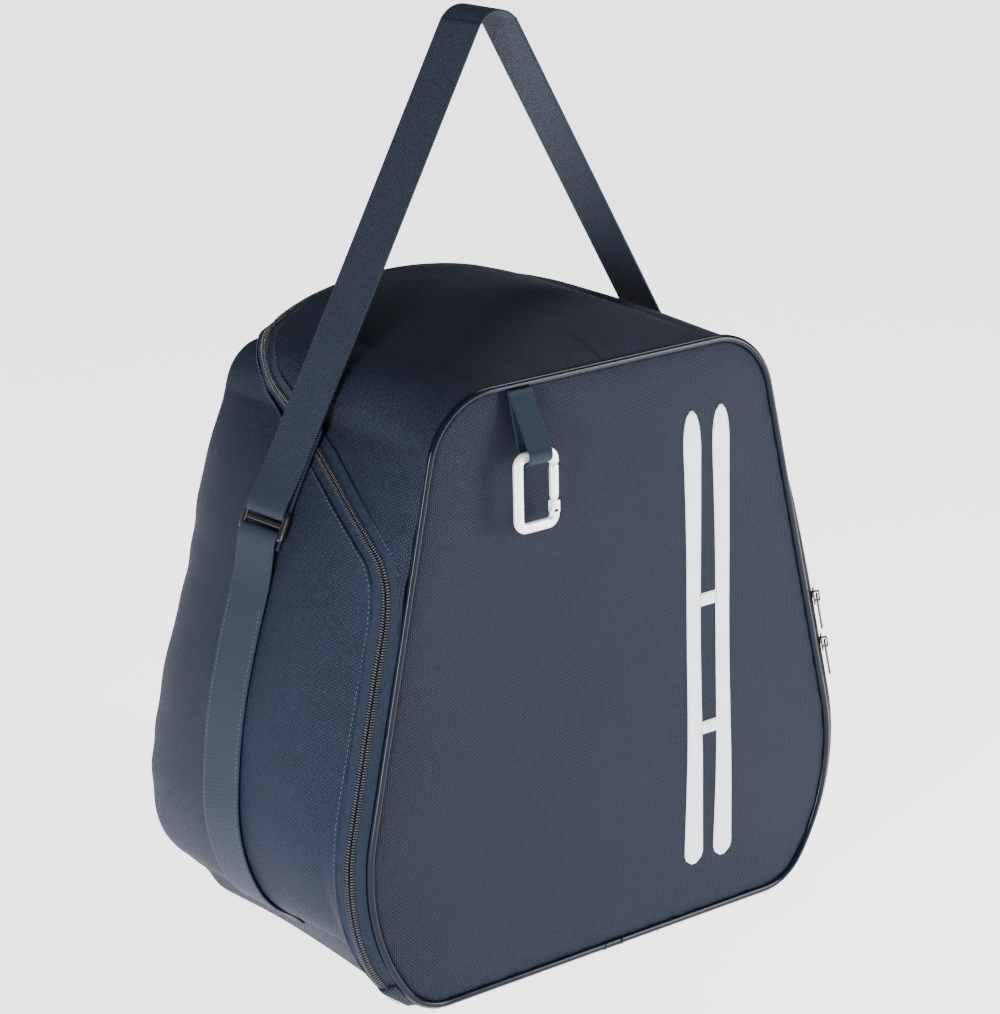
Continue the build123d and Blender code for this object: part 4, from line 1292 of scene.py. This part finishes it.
half_a, half_h = (CLIP_BAR - 0.9) / 2, CLIP_T / 2 - 0.1
gate_bar = upright("gate_bar", bar_x, clip_c.y, gate_pin.z + 4.6, GATE_TOP - 0.1, half_a, half_h, 1.7, 5)
gate_foot = upright("gate_foot", bar_x, clip_c.y, gate_pin.z - 2.2, gate_pin.z + 5.0, 2.1, 0.95, 0.4)
place(join("carabiner_gate_bar", gate_bar, gate_foot), "gate", "clip_metal", "carabiner_gate")

# rivet: (radius, place along the pin) from one head to the middle, then the same again turned over
RIVET_SIDES = 16
face = -CLIP_T / 2
profile = [(0.9, face - 0.45), (1.35, face - 0.4), (1.45, face - 0.1), (0.75, face)]
profile += [(radius, -y) for radius, y in profile[::-1]]
verts = []
for radius, y in profile:
    verts += [gate_pin_line + Vector((a, y, h)) for a, h in circle_ring(radius, RIVET_SIDES)]
faces = grid_faces(len(profile), RIVET_SIDES, False, True) + end_caps(len(profile), RIVET_SIDES)
rivet = solid("carabiner_rivet", verts, faces, clip_metal)
place(rivet, "carabiner", "clip_metal", "carabiner_pin")


# ---- front print
print_lo, print_hi = node_box("front_print")
PRINT_X = (print_lo.x + print_hi.x) / 2
PRINT_Z = (print_lo.z + print_hi.z) / 2 - LIFT
SKI_LEN = print_hi.z - print_lo.z
SKI_W = 17.0
INK_THICK = 0.22
SKI_GAP = (print_hi.x - print_lo.x) - SKI_W


def ink_strip(name, outline_at, t0, t1, count, cols=6):
    """Thin layer of ink on the front fabric; outline_at gives left and right x for a height."""
    verts, uvs = [], []
    for k in range(count + 1):
        z = t0 + (t1 - t0) * k / count
        x0, x1 = outline_at(z)
        for j in range(cols + 1):
            x = x0 + (x1 - x0) * j / cols
            verts.append(Vector((x, front_face_y(x, z) - 0.32, LIFT + z)))
            uvs.append((x, z))
    obj = make_mesh(name, verts, grid_faces(count + 1, cols + 1), print_ink, uvs)
    face_along_y(obj, -1)
    thicken(obj, INK_THICK)
    return obj


def ski_width(z, centre):
    """A ski seen flat: shovel at the top, waist in the middle, rounded tail."""
    t = (z - (PRINT_Z - SKI_LEN / 2)) / SKI_LEN
    half = SKI_W / 2 * (0.72 + 0.28 * (2 * t - 1) ** 2)
    tip = max(0.0, (t - 0.90) / 0.10)
    tail = max(0.0, (0.03 - t) / 0.03)
    half *= sqrt(max(0.002, 1 - tip ** 2.4)) * sqrt(max(0.05, 1 - tail ** 2))
    return centre - half, centre + half


inks = []
for sign in (-1, 1):
    centre = PRINT_X + sign * SKI_GAP / 2
    inks.append(ink_strip(f"ski{sign}", lambda z, c=centre: ski_width(z, c),
                          PRINT_Z - SKI_LEN / 2 + 0.3, PRINT_Z + SKI_LEN / 2 - 0.3, 90))


def plate_width(z):
    """The plates that tie the two skis together have straight sides."""
    return PRINT_X - SKI_GAP / 2 + 5.4, PRINT_X + SKI_GAP / 2 - 5.4


for at in (-62.0, 28.0):
    z0 = PRINT_Z + at - 4.5
    inks.append(ink_strip(f"plate{at}", plate_width, z0, z0 + 9.0, 4))
place(join("front_print_skis", *inks), "front_flap", "print", "front_print")

# ---- CAD nodes that stay
for node in ("base_board", "zip_slider_a", "zip_slider_b", "zip_pull_a", "zip_pull_b"):
    materials = frame["nodes"][node].data.materials
    materials.clear()
    materials.append(board_plastic if node == "base_board" else slider_metal)


# ---- studio
FLOOR_HALF = 12000.0
FLOOR_Z = -0.4
floor_mat, _, bsdf = new_material("studio_floor")
set_sockets(bsdf, Base_Color=(0.90, 0.90, 0.91, 1), Roughness=0.8)
set_sockets(bsdf, Emission_Color=(1.0, 1.0, 1.0, 1), Emission_Strength=2.6)
corners = [(x * FLOOR_HALF, y * FLOOR_HALF, FLOOR_Z) for x, y in ((-1, -1), (1, -1), (1, 1), (-1, 1))]
make_mesh("studio_floor", corners, [(0, 1, 2, 3)], floor_mat, smooth=False)

world = bpy.data.worlds.new("studio")
bpy.context.scene.world = world
world.use_nodes = True
set_sockets(world.node_tree.nodes["Background"], Color=(0.93, 0.96, 1.0, 1), Strength=0.10)


def area_light(name, at, aim, size, power, colour=(1, 1, 1)):
    data = bpy.data.lights.new(name, "AREA")
    data.shape = "RECTANGLE"
    data.size, data.size_y = size
    data.energy = power
    data.color = colour
    obj = bpy.data.objects.new(name, data)
    obj.location = at
    obj.rotation_euler = (Vector(aim) - Vector(at)).to_track_quat("-Z", "Y").to_euler()
    bpy.context.scene.collection.objects.link(obj)


area_light("key", (0.85, -0.95, 0.45), (0.14, -0.12, 0.22), (0.5, 0.8), 22)
area_light("side", (-1.35, -0.60, 0.40), (-0.2, -0.08, 0.20), (0.4, 0.7), 28, (0.95, 0.97, 1.0))
area_light("top", (0.9, 0.2, 1.7), (0.1, -0.05, 0.42), (0.8, 0.8), 15)


# ---- camera
AZIMUTH, ELEVATION, ROLL = radians(-38.97), radians(16.66), radians(-1.22)
FOCAL_PX, IMAGE_LONG = 3483.4, 1014.0
SENSOR = 36.0
DISTANCE = 2.3455
TARGET = Vector((0.0089, 0.0, 0.2763 + LIFT * MM))
back_dir = Vector((sin(AZIMUTH) * cos(ELEVATION), -cos(AZIMUTH) * cos(ELEVATION), sin(ELEVATION)))
right_dir = Vector((cos(AZIMUTH), sin(AZIMUTH), 0))
up_dir = back_dir.cross(right_dir)
r2 = right_dir * cos(ROLL) + up_dir * sin(ROLL)
u2 = up_dir * cos(ROLL) - right_dir * sin(ROLL)
cam_data = bpy.data.cameras.new("camera")
cam_data.sensor_width = SENSOR
cam_data.lens = SENSOR * FOCAL_PX / IMAGE_LONG
camera = bpy.data.objects.new("camera", cam_data)
m = Matrix((r2, u2, back_dir)).transposed().to_4x4()
m.translation = TARGET + back_dir * DISTANCE
camera.matrix_world = m
bpy.context.scene.collection.objects.link(camera)
bpy.context.scene.camera = camera
